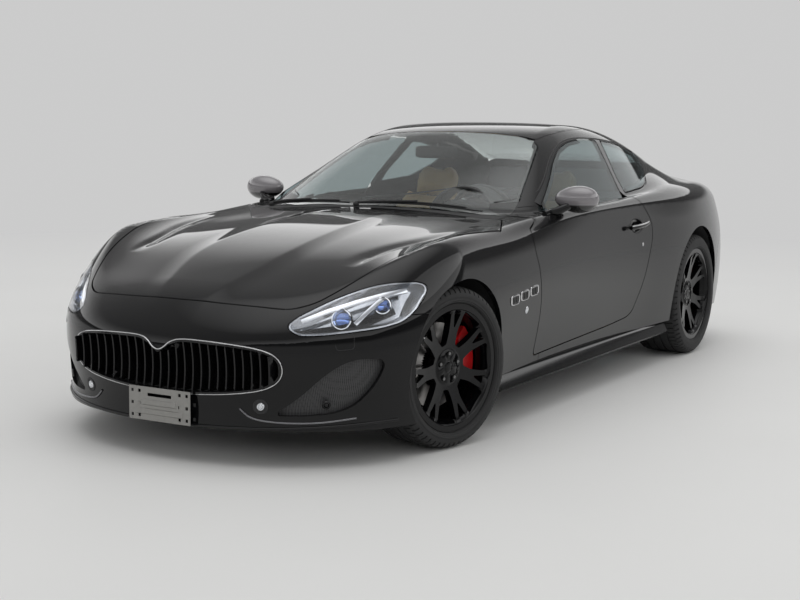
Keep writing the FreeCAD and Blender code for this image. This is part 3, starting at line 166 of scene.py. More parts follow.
def make_groups():
    """Dust settles on faces that look up, and a fine grain breaks up each surface."""
    number = "NodeSocketFloat"
    group, given, out = new_group("dust_and_wear", [("Amount", number, 0.1), ("Scale", number, 6.0)],
                                  [("Mask", number)])
    where = group.nodes.new("ShaderNodeTexCoord")
    face = group.nodes.new("ShaderNodeNewGeometry")
    split = group.nodes.new("ShaderNodeSeparateXYZ")
    group.links.new(face.outputs["Normal"], split.inputs[0])
    cloud = node_in(group, "ShaderNodeTexNoise", detail=6.0, roughness=0.65)
    group.links.new(where.outputs["Object"], cloud.inputs["Vector"])
    group.links.new(given.outputs["Scale"], cloud.inputs["Scale"])
    up = math_node(group, "MULTIPLY", split.outputs["Z"], 1.0, True)
    patch = math_node(group, "MULTIPLY", cloud.outputs["Fac"], up)
    group.links.new(math_node(group, "MULTIPLY", patch, given.outputs["Amount"], True), out.inputs["Mask"])

    group, given, out = new_group("grain", [("Scale", number, 400.0), ("Coarse", number, 60.0)],
                                  [("Height", number), ("Shade", number)])
    where = group.nodes.new("ShaderNodeTexCoord")
    cell = node_in(group, "ShaderNodeTexVoronoi", feature="DISTANCE_TO_EDGE")
    cloud = node_in(group, "ShaderNodeTexNoise", detail=4.0)
    for texture, size in ((cell, "Scale"), (cloud, "Coarse")):
        group.links.new(where.outputs["Object"], texture.inputs["Vector"])
        group.links.new(given.outputs[size], texture.inputs["Scale"])
    pores = math_node(group, "MINIMUM", cell.outputs["Distance"], 0.22)
    height = math_node(group, "ADD", math_node(group, "MULTIPLY", pores, 3.0),
                       math_node(group, "MULTIPLY", cloud.outputs["Fac"], 0.5))
    group.links.new(height, out.inputs["Height"])
    group.links.new(cloud.outputs["Fac"], out.inputs["Shade"])


def finish(name, base, rough, **sockets):
    """A new finish with its Principled shader; gives (material, tree, shader)."""
    made = bpy.data.materials.new(name)
    made.use_nodes = True
    tree = made.node_tree
    shader = tree.nodes["Principled BSDF"]
    shader.inputs["Base Color"].default_value = (*base, 1)
    shader.inputs["Roughness"].default_value = rough
    for key, value in sockets.items():
        shader.inputs[key.replace("_", " ").title().replace("Ior", "IOR")].default_value = value
    return made, tree, shader


def use_group(tree, name, **values):
    made = tree.nodes.new("ShaderNodeGroup")
    made.node_tree = bpy.data.node_groups[name]
    for key, value in values.items():
        made.inputs[key].default_value = value
    return made


def mix_colour(tree, share, a, b):
    made = tree.nodes.new("ShaderNodeMix")
    made.data_type = "RGBA"
    tree.links.new(share, made.inputs["Factor"])
    made.inputs["A"].default_value = (*a, 1)
    made.inputs["B"].default_value = (*b, 1)
    return made.outputs["Result"]


def spread_between(tree, share, low, high):
    made = node_in(tree, "ShaderNodeMapRange")
    made.inputs["To Min"].default_value = low
    made.inputs["To Max"].default_value = high
    tree.links.new(share, made.inputs["Value"])
    return made.outputs["Result"]


def bump_from(tree, shader, height, strength, distance):
    made = node_in(tree, "ShaderNodeBump", strength=strength, distance=distance)
    tree.links.new(height, made.inputs["Height"])
    tree.links.new(made.outputs["Normal"], shader.inputs["Normal"])
    return made


def floor_finish():
    """Pale floor; far from the car it takes the backdrop's tone, also mirrored or seen through."""
    made, tree, shader = finish("pale_floor", (0.74, 0.74, 0.73), 0.55, specular_ior_level=0.2)
    where = tree.nodes.new("ShaderNodeTexCoord")
    cloud = node_in(tree, "ShaderNodeTexNoise", scale=0.8, detail=5.0)
    tree.links.new(where.outputs["Object"], cloud.inputs["Vector"])
    tree.links.new(mix_colour(tree, cloud.outputs["Fac"], (0.72, 0.72, 0.71), (0.76, 0.76, 0.75)),
                   shader.inputs["Base Color"])
    length = node_in(tree, "ShaderNodeVectorMath", operation="LENGTH")
    tree.links.new(where.outputs["Object"], length.inputs[0])
    far = math_node(tree, "DIVIDE", length.outputs["Value"], 11.0, True)
    far = ramp(tree, far, [(0.3, 0.0), (0.92, 1.0)])
    path = tree.nodes.new("ShaderNodeLightPath")
    seen = math_node(tree, "ADD", path.outputs["Is Camera Ray"], path.outputs["Is Glossy Ray"], True)
    seen = math_node(tree, "ADD", seen, path.outputs["Is Transmission Ray"], True)
    glow = node_in(tree, "ShaderNodeEmission", strength=1.0)
    glow.inputs["Color"].default_value = (BACKDROP, BACKDROP, BACKDROP, 1)
    mix = tree.nodes.new("ShaderNodeMixShader")
    tree.links.new(math_node(tree, "MULTIPLY", far, seen), mix.inputs["Fac"])
    tree.links.new(shader.outputs[0], mix.inputs[1])
    tree.links.new(glow.outputs[0], mix.inputs[2])
    tree.links.new(mix.outputs[0], tree.nodes["Material Output"].inputs["Surface"])
    return made


def gloss_finish(name, base, rough, dust, **sockets):
    """Clear-coated paint or lacquer under a faint film of dust."""
    made, tree, shader = finish(name, base, rough, **sockets)
    film = use_group(tree, "dust_and_wear", Amount=dust, Scale=9.0)
    pale = tuple(min(1.0, k + 0.12) for k in base)
    tree.links.new(mix_colour(tree, film.outputs["Mask"], base, pale), shader.inputs["Base Color"])
    tree.links.new(spread_between(tree, film.outputs["Mask"], rough, rough + 0.35),
                   shader.inputs["Roughness"])
    return made


def grained_finish(name, base, rough, scale, coarse, depth, shade=0.25, **sockets):
    """Moulded plastic, rubber or leather with a pored grain and uneven colour."""
    made, tree, shader = finish(name, base, rough, **sockets)
    grain = use_group(tree, "grain", Scale=scale, Coarse=coarse)
    dark = tuple(k * (1 - shade) for k in base)
    light = tuple(min(1.0, k * (1 + shade)) for k in base)
    tree.links.new(mix_colour(tree, grain.outputs["Shade"], dark, light), shader.inputs["Base Color"])
    tree.links.new(spread_between(tree, grain.outputs["Shade"], rough - 0.06, rough + 0.08),
                   shader.inputs["Roughness"])
    bump_from(tree, shader, grain.outputs["Height"], 0.4, depth)
    return made


def clear_finish(name, tint, rough, ior=1.45):
    """Glass that lets light and shadow rays through, so that what lies behind it is lit."""
    made, tree, shader = finish(name, tint, rough, transmission_weight=1.0, ior=ior)
    path = tree.nodes.new("ShaderNodeLightPath")
    through = tree.nodes.new("ShaderNodeBsdfTransparent")
    through.inputs["Color"].default_value = (*tint, 1)
    mix = tree.nodes.new("ShaderNodeMixShader")
    out = tree.nodes["Material Output"]
    tree.links.new(path.outputs["Is Shadow Ray"], mix.inputs["Fac"])
    tree.links.new(shader.outputs[0], mix.inputs[1])
    tree.links.new(through.outputs[0], mix.inputs[2])
    tree.links.new(mix.outputs[0], out.inputs["Surface"])
    return made


def metal_finish(name, base, rough, scale, **sockets):
    made, tree, shader = finish(name, base, rough, metallic=1.0, **sockets)
    where = tree.nodes.new("ShaderNodeTexCoord")
    cloud = node_in(tree, "ShaderNodeTexNoise", scale=scale, detail=5.0)
    tree.links.new(where.outputs["Object"], cloud.inputs["Vector"])
    dark = tuple(k * 0.75 for k in base)
    tree.links.new(mix_colour(tree, cloud.outputs["Fac"], dark, base), shader.inputs["Base Color"])
    tree.links.new(spread_between(tree, cloud.outputs["Fac"], rough * 0.7, rough * 1.3),
                   shader.inputs["Roughness"])
    return made


def net_finish(name, strand, scale):
    """A fine honeycomb net: pale strands round cells painted near black as the shade in the net's openings.
    """
    made, tree, shader = finish(name, strand, 0.5)
    where = tree.nodes.new("ShaderNodeTexCoord")
    cell = node_in(tree, "ShaderNodeTexVoronoi", feature="DISTANCE_TO_EDGE", scale=scale, randomness=0.15)
    tree.links.new(where.outputs["Object"], cell.inputs["Vector"])
    # The cells are painted near black: painted shade in the net's openings.
    hole = ramp(tree, cell.outputs["Distance"], [(0.1, strand), (0.2, (0.002, 0.002, 0.002))])
    tree.links.new(hole, shader.inputs["Base Color"])
    bump_from(tree, shader, math_node(tree, "MINIMUM", cell.outputs["Distance"], 0.25), -0.6, 0.003)
    return made


def painted_sheen_top_finish(name, low, high, edge):
    """A lacquer that changes from a dark foot to a light top at a height in metres; the light top is a
    painted reflection of light from above.
    """
    made, tree, shader = finish(name, low, 0.25, coat_weight=1.0, coat_roughness=0.03)
    where = tree.nodes.new("ShaderNodeTexCoord")
    split = tree.nodes.new("ShaderNodeSeparateXYZ")
    tree.links.new(where.outputs["Object"], split.inputs[0])
    tree.links.new(ramp(tree, split.outputs["Z"], [(edge - 0.002, low), (edge + 0.002, high)]),
                   shader.inputs["Base Color"])
    film = use_group(tree, "dust_and_wear", Amount=0.08, Scale=12.0)
    tree.links.new(spread_between(tree, film.outputs["Mask"], 0.22, 0.5), shader.inputs["Roughness"])
    return made


def make_finishes():
    return {
        "black_paint": gloss_finish("black_paint", (0.003, 0.003, 0.0035), 0.35, 0.02, coat_weight=1.0,
                                    coat_roughness=0.01, coat_ior=1.36, specular_ior_level=0.02),
        "gloss_black": gloss_finish("gloss_black", (0.004, 0.004, 0.0045), 0.14, 0.04,
                                    specular_ior_level=0.35),
        "matt_black": grained_finish("matt_black", (0.017, 0.017, 0.018), 0.62, 900.0, 40.0, 0.0002),
        "clear_glass": clear_finish("clear_glass", (0.88, 0.93, 0.92), 0.0),
        "side_glass": clear_finish("side_glass", (0.36, 0.44, 0.45), 0.0, 1.22),
        "clear_lens": clear_finish("clear_lens", (0.97, 0.98, 1.0), 0.0),
        "lamp_metal": metal_finish("lamp_metal", (0.5, 0.52, 0.55), 0.16, 30.0),
        "red_lens": gloss_finish("red_lens", (0.3, 0.004, 0.006), 0.08, 0.05, coat_weight=0.6),
        "bracket_metal": metal_finish("bracket_metal", (0.36, 0.355, 0.34), 0.42, 60.0),
        "tyre": grained_finish("tyre", (0.016, 0.016, 0.0165), 0.72, 300.0, 25.0, 0.0003),
        "black_alloy": gloss_finish("black_alloy", (0.0015, 0.0015, 0.002), 0.22, 0.03, coat_weight=1.0,
                                    coat_roughness=0.03, coat_ior=1.3, specular_ior_level=0.03),
        "cast_alloy": metal_finish("cast_alloy", (0.22, 0.22, 0.22), 0.55, 90.0),
        "red_paint": gloss_finish("red_paint", (0.52, 0.006, 0.008), 0.25, 0.1, coat_weight=0.6),
        "dark_steel": grained_finish("dark_steel", (0.03, 0.03, 0.032), 0.5, 500.0, 12.0, 0.0002),
        "bright_steel": metal_finish("bright_steel", (0.62, 0.62, 0.63), 0.18, 40.0),
        "dark_leather": grained_finish("dark_leather", (0.018, 0.018, 0.019), 0.5, 700.0, 18.0, 0.0004),
        "tan_leather": grained_finish("tan_leather", (0.56, 0.38, 0.18), 0.46, 520.0, 9.0, 0.0005, 0.14),
        # grey_gloss paints a reflection of the overhead light as grey on the top of the mirror cap, over the
        # black of its paint.
        "grey_gloss": painted_sheen_top_finish("grey_gloss", (0.005, 0.005, 0.005), (0.2, 0.19, 0.2), 0.962),
        "net_black": net_finish("net_black", (0.05, 0.05, 0.052), 170.0),
        "disc_steel": metal_finish("disc_steel", (0.36, 0.35, 0.34), 0.34, 25.0),
        "bolt_steel": metal_finish("bolt_steel", (0.2, 0.2, 0.2), 0.3, 60.0),
        "lamp_chrome": metal_finish("lamp_chrome", (0.82, 0.84, 0.87), 0.08, 20.0),
        "blue_lens": clear_finish("blue_lens", (0.55, 0.68, 1.0), 0.02),
        "dark_chrome": metal_finish("dark_chrome", (0.2, 0.2, 0.21), 0.2, 40.0),
        "trim_chrome": metal_finish("trim_chrome", (0.7, 0.7, 0.71), 0.14, 30.0),
        "mirror_glass": metal_finish("mirror_glass", (0.8, 0.82, 0.84), 0.02, 2.0),
    }


# Lines of the body, as in the part's source, in millimetres
def smooth_line(points):
    xs = np.array([p[0] for p in points], float)
    ys = np.array([p[1] for p in points], float)
    n = len(xs)
    step = np.diff(xs)
    bend = np.zeros((n, n))
    bend[0, 0] = bend[-1, -1] = 1.0
    pull = np.zeros(n)
    for i in range(1, n - 1):
        bend[i, i - 1:i + 2] = step[i - 1] / 6, (step[i - 1] + step[i]) / 3, step[i] / 6
        pull[i] = (ys[i + 1] - ys[i]) / step[i] - (ys[i] - ys[i - 1]) / step[i - 1]
    m = np.linalg.solve(bend, pull)

    def value(x):
        x = np.asarray(x, float)
        inside = np.clip(x, xs[0], xs[-1])
        i = np.clip(np.searchsorted(xs, inside, "right") - 1, 0, n - 2)
        h = step[i]
        u = (xs[i + 1] - inside) / h
        v = (inside - xs[i]) / h
        y = u * ys[i] + v * ys[i + 1] + ((u ** 3 - u) * m[i] + (v ** 3 - v) * m[i + 1]) * h * h / 6
        first = (ys[1] - ys[0]) / step[0] - step[0] / 6 * m[1]
        last = (ys[-1] - ys[-2]) / step[-1] + step[-1] / 6 * m[-2]
        return y + np.minimum(x - xs[0], 0) * first + np.maximum(x - xs[-1], 0) * last
    return value


def soft_max(a, b, r):
    p = a + r
    q = b + r
    both = (p > 0) & (q > 0)
    return np.where(both, np.hypot(np.where(both, p, 1), np.where(both, q, 1)) - r, np.maximum(a, b))


def soft_min(a, b, r):
    return -soft_max(-a, -b, r)


# Lines of the lower body along the car: deck at the centre, crest of the wings, and the dip between them
CENTRE_Z = smooth_line([(0, 470), (100, 556), (197, 632), (350, 702), (550, 768), (800, 826), (1100, 873),
                        (1400, 904), (1710, 926), (2200, 930), (3000, 940), (3800, 1035), (4060, 1060),
                        (4300, 1062), (4550, 1058), (4790, 1050), (4910, 1035)])
CREST_X = smooth_line([(0, 300), (212, 470), (412, 632), (611, 722), (811, 772), (1011, 800), (1210, 815),
                       (1410, 820), (1800, 835), (2500, 835), (3100, 840), (3500, 848), (3850, 850),
                       (4200, 815), (4500, 760), (4800, 690)])
CREST_Z = smooth_line([(0, 480), (212, 612), (412, 698), (611, 785), (811, 842), (1011, 872), (1210, 884),
                       (1410, 890), (1800, 915), (2500, 940), (3100, 965), (3500, 988), (3850, 1000),
                       (4200, 1000), (4500, 985), (4800, 950)])
DIP_Z = smooth_line([(0, 0), (212, 0), (500, 6), (811, 16), (1100, 20), (1500, 10), (2000, 0), (3500, 0),
                     (3900, 10), (4400, 12), (4800, 5)])
CREST_R = smooth_line([(0, 60), (600, 80), (1000, 90), (1500, 70), (2000, 40), (3000, 40), (3500, 70),
                       (4000, 100), (4900, 80)])

# Half-widths of the lower body at five levels, each a line along the car
LEVELS = [150.0, 350.0, 600.0, 780.0, 900.0]
SIDE_X = [
    smooth_line([(0, 800), (431, 880), (902, 895), (1400, 872), (2300, 852), (3100, 868), (3844, 900),
                 (4300, 870), (4600, 820), (4900, 760)]),
    smooth_line([(0, 800), (431, 905), (902, 925), (1400, 898), (2300, 880), (3100, 902), (3844, 945),
                 (4300, 900), (4600, 840), (4900, 770)]),
    smooth_line([(0, 800), (431, 912), (902, 938), (1400, 925), (2300, 905), (3100, 925), (3844, 957),
                 (4300, 912), (4600, 845), (4900, 770)]),
    smooth_line([(0, 760), (431, 890), (902, 912), (1400, 905), (2300, 898), (3100, 918), (3844, 945),
                 (4300, 893), (4600, 825), (4900, 750)]),
    smooth_line([(0, 700), (431, 830), (902, 862), (1400, 862), (2300, 876), (3100, 896), (3844, 915),
                 (4300, 862), (4600, 790), (4900, 710)]),
]
LEVEL_SHARE = [smooth_line([(z, 1.0 if i == j else 0.0) for j, z in enumerate(LEVELS)]) for i in range(5)]

# Nose and tail on the centre line, as stations at each height, with their bend in plan
NOSE_S = smooth_line([(120, 78), (230, 84), (330, 66), (424, 56), (520, 66), (600, 110), (700, 200)])
NOSE_BEND = (2.5e-4, 4.5e-10)
TAIL_S = smooth_line([(200, 4820), (300, 4860), (450, 4895), (600, 4908), (720, 4890), (850, 4850),
                      (1000, 4800), (1100, 4790)])
TAIL_BEND = (1.6e-4, 3.2e-10)
CORNER_R = 120.0

# Lines of the cabin along the car
ROOF_Z = smooth_line([(1500, 838), (1690, 926), (2000, 1082), (2250, 1203), (2467, 1294), (2650, 1334),
                      (2850, 1352), (3050, 1349), (3250, 1328), (3450, 1290), (3700, 1224), (3950, 1133),
                      (4150, 1050), (4300, 985)])
GLASS_X = smooth_line([(1500, 700), (1700, 745), (1950, 775), (2300, 792), (2700, 800), (3100, 795),
                       (3400, 778), (3700, 735), (4000, 665), (4200, 600)])
BELT_Z = smooth_line([(1500, 930), (2000, 942), (2600, 955), (3200, 985), (3800, 1000), (4200, 1000)])
LEAN = smooth_line([(1500, 0.60), (2467, 0.66), (3200, 0.66), (4200, 0.80)])
LEAN_BEND = 1.8e-4
ROOF_CROWN = (4.5e-5, 1.2e-10)
SCREEN_BEND = 1.6e-4
ROOF_R = 70.0
JOIN_R = smooth_line([(1500, 60), (1800, 25), (2300, 12), (3000, 15), (3400, 60), (3800, 130), (4200, 130)])


def deck_z(x, s):
    centre = CENTRE_Z(s)
    crest_x = CREST_X(s)
    crest_z = CREST_Z(s)
    dip = DIP_Z(s) / 2.37
    t = x / crest_x
    inner = centre + (crest_z - centre) * t * t - dip * 16 * t ** 4 * (1 - t * t)
    over = x - crest_x
    slope = (2 * (crest_z - centre) + 32 * dip) / crest_x
    return np.where(t <= 1, inner, crest_z + slope * over - 0.0012 * over * over)


def side_x(s, z):
    return sum(share(z) * line(s) for share, line in zip(LEVEL_SHARE, SIDE_X))


# The bonnet's middle stands proud between two creases, with a hollow beside each wing
CREASE_X = smooth_line([(60, 100), (125, 110), (295, 146), (510, 198), (800, 214), (1100, 205), (1420, 180)])
HOLLOW_X = smooth_line([(560, 570), (840, 612), (1000, 660), (1330, 716), (1500, 730)])
CREASE_RISE = 7.0
HOLLOW_SINK = 10.0


def creased_deck(x, s):
    fade = np.clip((s - 60) / 260, 0, 1) * np.clip((1640 - s) / 260, 0, 1)
    t = (x - CREASE_X(s)) / 110
    t = 0.5 * (t + np.sqrt(t * t + 0.006))
    rise = CREASE_RISE * np.maximum(0, 1 - t) ** 2
    e = (x - HOLLOW_X(s)) / 44
    e = np.where(e > 0, 1.9 * e, e)
    length = np.clip((s - 580) / 130, 0, 1) * np.clip((1400 - s) / 420, 0, 1)
    return deck_z(x, s) + fade * rise - HOLLOW_SINK * length * np.exp(-e * e)


def lower_body(x, s, z, deck=deck_z):
    x = np.abs(x)
    side = x - side_x(s, z)
    nose = NOSE_S(z) + NOSE_BEND[0] * x * x + NOSE_BEND[1] * x ** 4 - s
    tail = s - (TAIL_S(z) - TAIL_BEND[0] * x * x - TAIL_BEND[1] * x ** 4)
    return soft_max(z - deck(x, s), soft_max(side, np.maximum(nose, tail), CORNER_R), CREST_R(s))


def cabin(x, s, z):
    crown = ROOF_CROWN[0] * x * x + ROOF_CROWN[1] * x ** 4
    top = z - (ROOF_Z(s - SCREEN_BEND * x * x) - crown)
    rise = soft_max(z - BELT_Z(s), -60.0, 40.0)
    side = np.abs(x) - (GLASS_X(s) - LEAN(s) * rise - LEAN_BEND * rise * rise)
    return soft_max(top / 1.12, side / 1.2, ROOF_R)


def skin(x, s, z, deck=deck_z):
    low = lower_body(x, s, z, deck)
    whole = soft_min(low, cabin(x, s, z), JOIN_R(s))
    return np.where((s < 1500) | (s > 4400), low, whole)


def creased_skin(x, s, z):
    return skin(x, s, z, creased_deck)


# A cup is pressed into each door behind its handle
CUP = (2905.0, 812.0, 66.0, 30.0, 13.0)


def cupped_side(x, s, z):
    away = ((s - CUP[0]) / CUP[2]) ** 2 + ((z - CUP[1]) / CUP[3]) ** 2
    return lower_body(x, s, z) + CUP[4] * np.exp(-away ** 2)


def side_glass(x, s, z):
    rise = z - BELT_Z(s)
    return (np.abs(x) - (GLASS_X(s) - LEAN(s) * rise - LEAN_BEND * rise * rise)) / 1.2


def slope_of(form, p):
    """The form's gradient at points p (x, s, z in millimetres)."""
    step = 0.5
    out = np.empty_like(p)
    for i in range(3):
        high = p.copy()
        low = p.copy()
        high[:, i] += step
        low[:, i] -= step
        out[:, i] = (form(*high.T) - form(*low.T)) / (2 * step)
    return out


def metres_back(p):
    """A place in millimetres (x, s, z) from one in metres."""
    return Vector((p[0] * 1000, p[1] * 1000 + HALF, p[2] * 1000))


# How far apart vertices are merged in metres, how well a face's normal follows the form that it is refined on
# or takes its normals from, and the angle up to which the other faces are smoothed
MERGE = 2e-5
ON_FORM = 0.9
ALONG_FORM = 0.85
PANEL_ANGLE = 28
REFINE_TURNS = 5
LAYING_TURNS = 3


def polished(name, form, last=None, reach_mm=26.0, near=1.3, fine=()):
    """Copy a panel of the CAD model, refine its outer faces on the body's own form, and lay them on the
    last, finer form with its true normals, so that a gloss coat reflects in clean lines. Near is how far
    in millimetres a vertex may lie from the form, and fine gives the places (x, s, z, radius, reach) that
    are refined more."""
    last = last or form
    mesh = nodes[name].data.copy()
    work = bmesh.new()
    work.from_mesh(mesh)
    bmesh.ops.remove_doubles(work, verts=work.verts, dist=MERGE)

    def places():
        co = np.array([v.co for v in work.verts], float) * 1000
        co[:, 1] += HALF
        return co

    def outer_marks():
        co = places()
        value = form(*co.T)
        slope = slope_of(form, co)
        size = np.linalg.norm(slope, axis=1)
        slope /= size[:, None]
        return np.abs(value / size) < near, slope

    for turn in range(REFINE_TURNS):
        on_skin, slope = outer_marks()
        work.verts.index_update()
        work.normal_update()
        long_edges = set()
        for face in work.faces:
            ids = [v.index for v in face.verts]
            if on_skin[ids].all() and Vector(slope[ids].mean(0)).dot(face.normal) > ON_FORM:
                reach = reach_mm
                middle = metres_back(face.calc_center_median())
                for x, s, z, radius, small in fine:
                    if (middle - Vector((x, s, z))).length < radius:
                        reach = small
                long_edges.update(e for e in face.edges if e.calc_length() > reach / 1000)
        if not long_edges:
            break
        bmesh.ops.subdivide_edges(work, edges=list(long_edges), cuts=1)
        bmesh.ops.triangulate(work, faces=[f for f in work.faces if len(f.verts) > 3])
    on_skin, slope = outer_marks()
    co = places()
    for turn in range(LAYING_TURNS):
        grade = slope_of(last, co[on_skin])
        value = last(*co[on_skin].T)
        co[on_skin] -= grade * (value / (grade ** 2).sum(1))[:, None]
    slope[on_skin] = slope_of(last, co[on_skin])
    slope[on_skin] /= np.linalg.norm(slope[on_skin], axis=1)[:, None]
    co[:, 1] -= HALF
    for v, c in zip(work.verts, co / 1000):
        v.co = c
    work.to_mesh(mesh)
    work.free()
    piece = bpy.data.objects.new(name + "_shell", mesh)
    bpy.context.scene.collection.objects.link(piece)
    choose(piece)
    bpy.ops.object.shade_smooth_by_angle(angle=math.radians(PANEL_ANGLE))
    corner = np.empty(len(mesh.loops) * 3, np.float32)
    mesh.corner_normals.foreach_get("vector", corner)
    corner = corner.reshape(-1, 3)
    owner = np.empty(len(mesh.loops), int)
    mesh.loops.foreach_get("vertex_index", owner)
    for face in mesh.polygons:
        ids = list(face.vertices)
        if on_skin[ids].all() and Vector(slope[ids].mean(0)).dot(face.normal) > ALONG_FORM:
            for loop in face.loop_indices:
                corner[loop] = slope[owner[loop]]
    mesh.normals_split_custom_set([tuple(n) for n in corner])
    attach(piece, body_named(name))
    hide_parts(name)
    return piece


def body_named(node):
    for body, members in frame["record"]["behaviour"]["bodies"].items():
        if node in members:
            return body


slot_named = {k["node"]: k["material_slot"] for k in frame["record"]["subparts"]}


def dress(piece, material):
    piece.data.materials.clear()
    piece.data.materials.append(material)


def metres(x, s, z):
    """A place in metres from half-width, station behind the nose tip and height in millimetres."""
    return Vector((x, s - HALF, z)) / 1000


def first_inside(form, points):
    """The first of a row of (x, s, z) points that lies inside a form."""
    value = form(points[:, 0], points[:, 1], points[:, 2])
    i = int(np.argmax(value < 0))
    share = value[i - 1] / (value[i - 1] - value[i])
    return points[i - 1] + (points[i] - points[i - 1]) * share


def row_to(fixed, axis, start, end, n=600):
    points = np.tile(np.array(fixed, float), (n, 1))
    points[:, axis] = np.linspace(start, end, n)
    return points


def nose_at(x, z, form=skin):
    return first_inside(form, row_to((x, 0, z), 1, -60, 1500))


def tail_at(x, z, form=skin):
    return first_inside(form, row_to((x, 0, z), 1, 5000, 3900))


def side_at(s, z, form=skin):
    return first_inside(form, row_to((0, s, z), 0, 1100, 300))


def top_at(x, s, form=skin):
    return first_inside(form, row_to((x, s, 0), 2, 1500, 300))


def outward_at(p, form=skin):
    grade = slope_of(form, np.array([p], float))[0]
    return grade / np.linalg.norm(grade)


def raised(p, height, form=skin):
    return np.array(p) + outward_at(p, form) * height


# Modelling by hand: each piece starts as a primitive and is shaped in edit mode
def choose(*pieces):
    """Select some pieces alone, with the first one active."""
    bpy.ops.object.select_all(action="DESELECT")
    for piece in pieces:
        piece.select_set(True)
    bpy.context.view_layer.objects.active = pieces[0]


def begin(kind, name, **values):
    bpy.ops.object.select_all(action="DESELECT")
    getattr(bpy.ops.mesh, "primitive_%s_add" % kind)(**values)
    piece = bpy.context.object
    piece.name = name
    return piece


def edit():
    bpy.ops.object.mode_set(mode="EDIT")


def done():
    bpy.ops.object.mode_set(mode="OBJECT")


def pick_faces(piece, test):
    """Select the faces whose middle and normal pass a test, in edit mode."""
    bpy.ops.mesh.select_all(action="DESELECT")
    work = bmesh.from_edit_mesh(piece.data)
    for face in work.faces:
        if test(face.calc_center_median(), face.normal):
            face.select_set(True)
    bmesh.update_edit_mesh(piece.data)


def settle(piece, angle=30.0):
    """Put a piece's place into its mesh and smooth it up to an angle."""
    choose(piece)
    bpy.ops.object.transform_apply(location=True, rotation=True, scale=True)
    bpy.ops.object.shade_smooth_by_angle(angle=math.radians(angle))
    return piece


def add_modifier(piece, kind, **values):
    choose(piece)
    made = piece.modifiers.new(kind.lower(), kind)
    for key, value in values.items():
        setattr(made, key, value)
    bpy.ops.object.modifier_apply(modifier=made.name)


def turned(name, marks, steps=48):
    """Spin an outline of (along, radius) marks in millimetres round the X axis."""
    piece = begin("plane", name, size=0.01)
    edit()
    bpy.ops.mesh.merge(type="CENTER")
    along, radius = marks[0]
    bpy.ops.transform.translate(value=(along / 1000, 0, radius / 1000))
    for (a0, r0), (a1, r1) in zip(marks, marks[1:]):
        bpy.ops.mesh.extrude_region_move(
            TRANSFORM_OT_translate={"value": ((a1 - a0) / 1000, 0, (r1 - r0) / 1000)})
    bpy.ops.mesh.select_all(action="SELECT")
    bpy.ops.mesh.spin(steps=steps, angle=2 * math.pi, center=(0, 0, 0), axis=(1, 0, 0))
    bpy.ops.mesh.select_all(action="SELECT")
    bpy.ops.mesh.remove_doubles(threshold=1e-5)
    bpy.ops.mesh.normals_make_consistent(inside=False)
    done()
    return piece


def placed(piece, name, matrix):
    """A copy of a piece with its own mesh, moved by a matrix; a mirroring one turns its faces back."""
    mesh = piece.data.copy()
    mesh.transform(matrix)
    if matrix.determinant() < 0:
        mesh.flip_normals()
    out = bpy.data.objects.new(name, mesh)
    bpy.context.scene.collection.objects.link(out)
    return out


def drop(*pieces):
    for piece in pieces:
        bpy.data.objects.remove(piece)


def joined(name, pieces):
    choose(*pieces)
    if len(pieces) > 1:
        bpy.ops.object.join()
    out = bpy.context.view_layer.objects.active
    out.name = name
    return out


def aimed(place, way, up=(0, 0, 1)):
    """A matrix that takes the X axis to a way and the origin to a place in metres."""
    x = Vector(way).normalized()
    y = Vector(up).cross(x).normalized()
    z = x.cross(y)
    return Matrix.Translation(place) @ Matrix((x, y, z)).transposed().to_4x4()


MIRROR = Matrix.Diagonal((-1, 1, 1, 1))
SIGNS = (("left", 1), ("right", -1))
FLIPS = (("left", Matrix.Identity(4)), ("right", MIRROR))


def leaning(s, z, angle):
    """A matrix that leans a piece by an angle in degrees about a line across the car at (s, z)."""
    pivot = metres(0, s, z)
    turn = Matrix.Rotation(math.radians(angle), 4, "X")
    return Matrix.Translation(pivot) @ turn @ Matrix.Translation(-pivot)


def block(name, at, size, bevel, segments=3):
    """A box of a size in metres at a place (x, s, z), its edges bevelled by a share of its size."""
    piece = begin("cube", name, size=1, location=metres(*at))
    piece.scale = size
    edit()
    bpy.ops.mesh.bevel(offset=bevel, segments=segments)
    done()
    return settle(piece)


def bead(name, points, radius, closed=False):
    """A round bead along (x, s, z) points in millimetres."""
    curve = bpy.data.curves.new(name, "CURVE")
    curve.dimensions = "3D"
    curve.bevel_depth = radius / 1000
    curve.bevel_resolution = 2
    curve.resolution_u = 4
    curve.use_fill_caps = not closed
    line = curve.splines.new("NURBS")
    line.points.add(len(points) - 1)
    for mark, p in zip(line.points, points):
        mark.co = (*metres(*p), 1)
    line.order_u = 3
    line.use_endpoint_u = not closed
    line.use_cyclic_u = closed
    piece = bpy.data.objects.new(name, curve)
    bpy.context.scene.collection.objects.link(piece)
    choose(piece)
    bpy.ops.object.convert(target="MESH")
    piece = bpy.context.object
    piece.name = name
    bpy.ops.object.shade_smooth()
    return piece


def laid(name, corners, columns, rows, lift, spot):
    """A flat grid laid on the body between four corners (a, b), through spot(a, b) to (x, s, z)."""
    piece = begin("grid", name, x_subdivisions=columns, y_subdivisions=rows, size=1)
    c = [np.array(k, float) for k in corners]
    for v in piece.data.vertices:
        u, w = v.co.x + 0.5, v.co.y + 0.5
        a, b = (c[0] * (1 - u) + c[1] * u) * (1 - w) + (c[3] * (1 - u) + c[2] * u) * w
        v.co = metres(*raised(spot(a, b), lift))
    return piece


def give(piece, body, slot, material=None):
    """Set a piece on its body with its finish."""
    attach(piece, body)
    dress(piece, finishes[material or slot])
    return piece


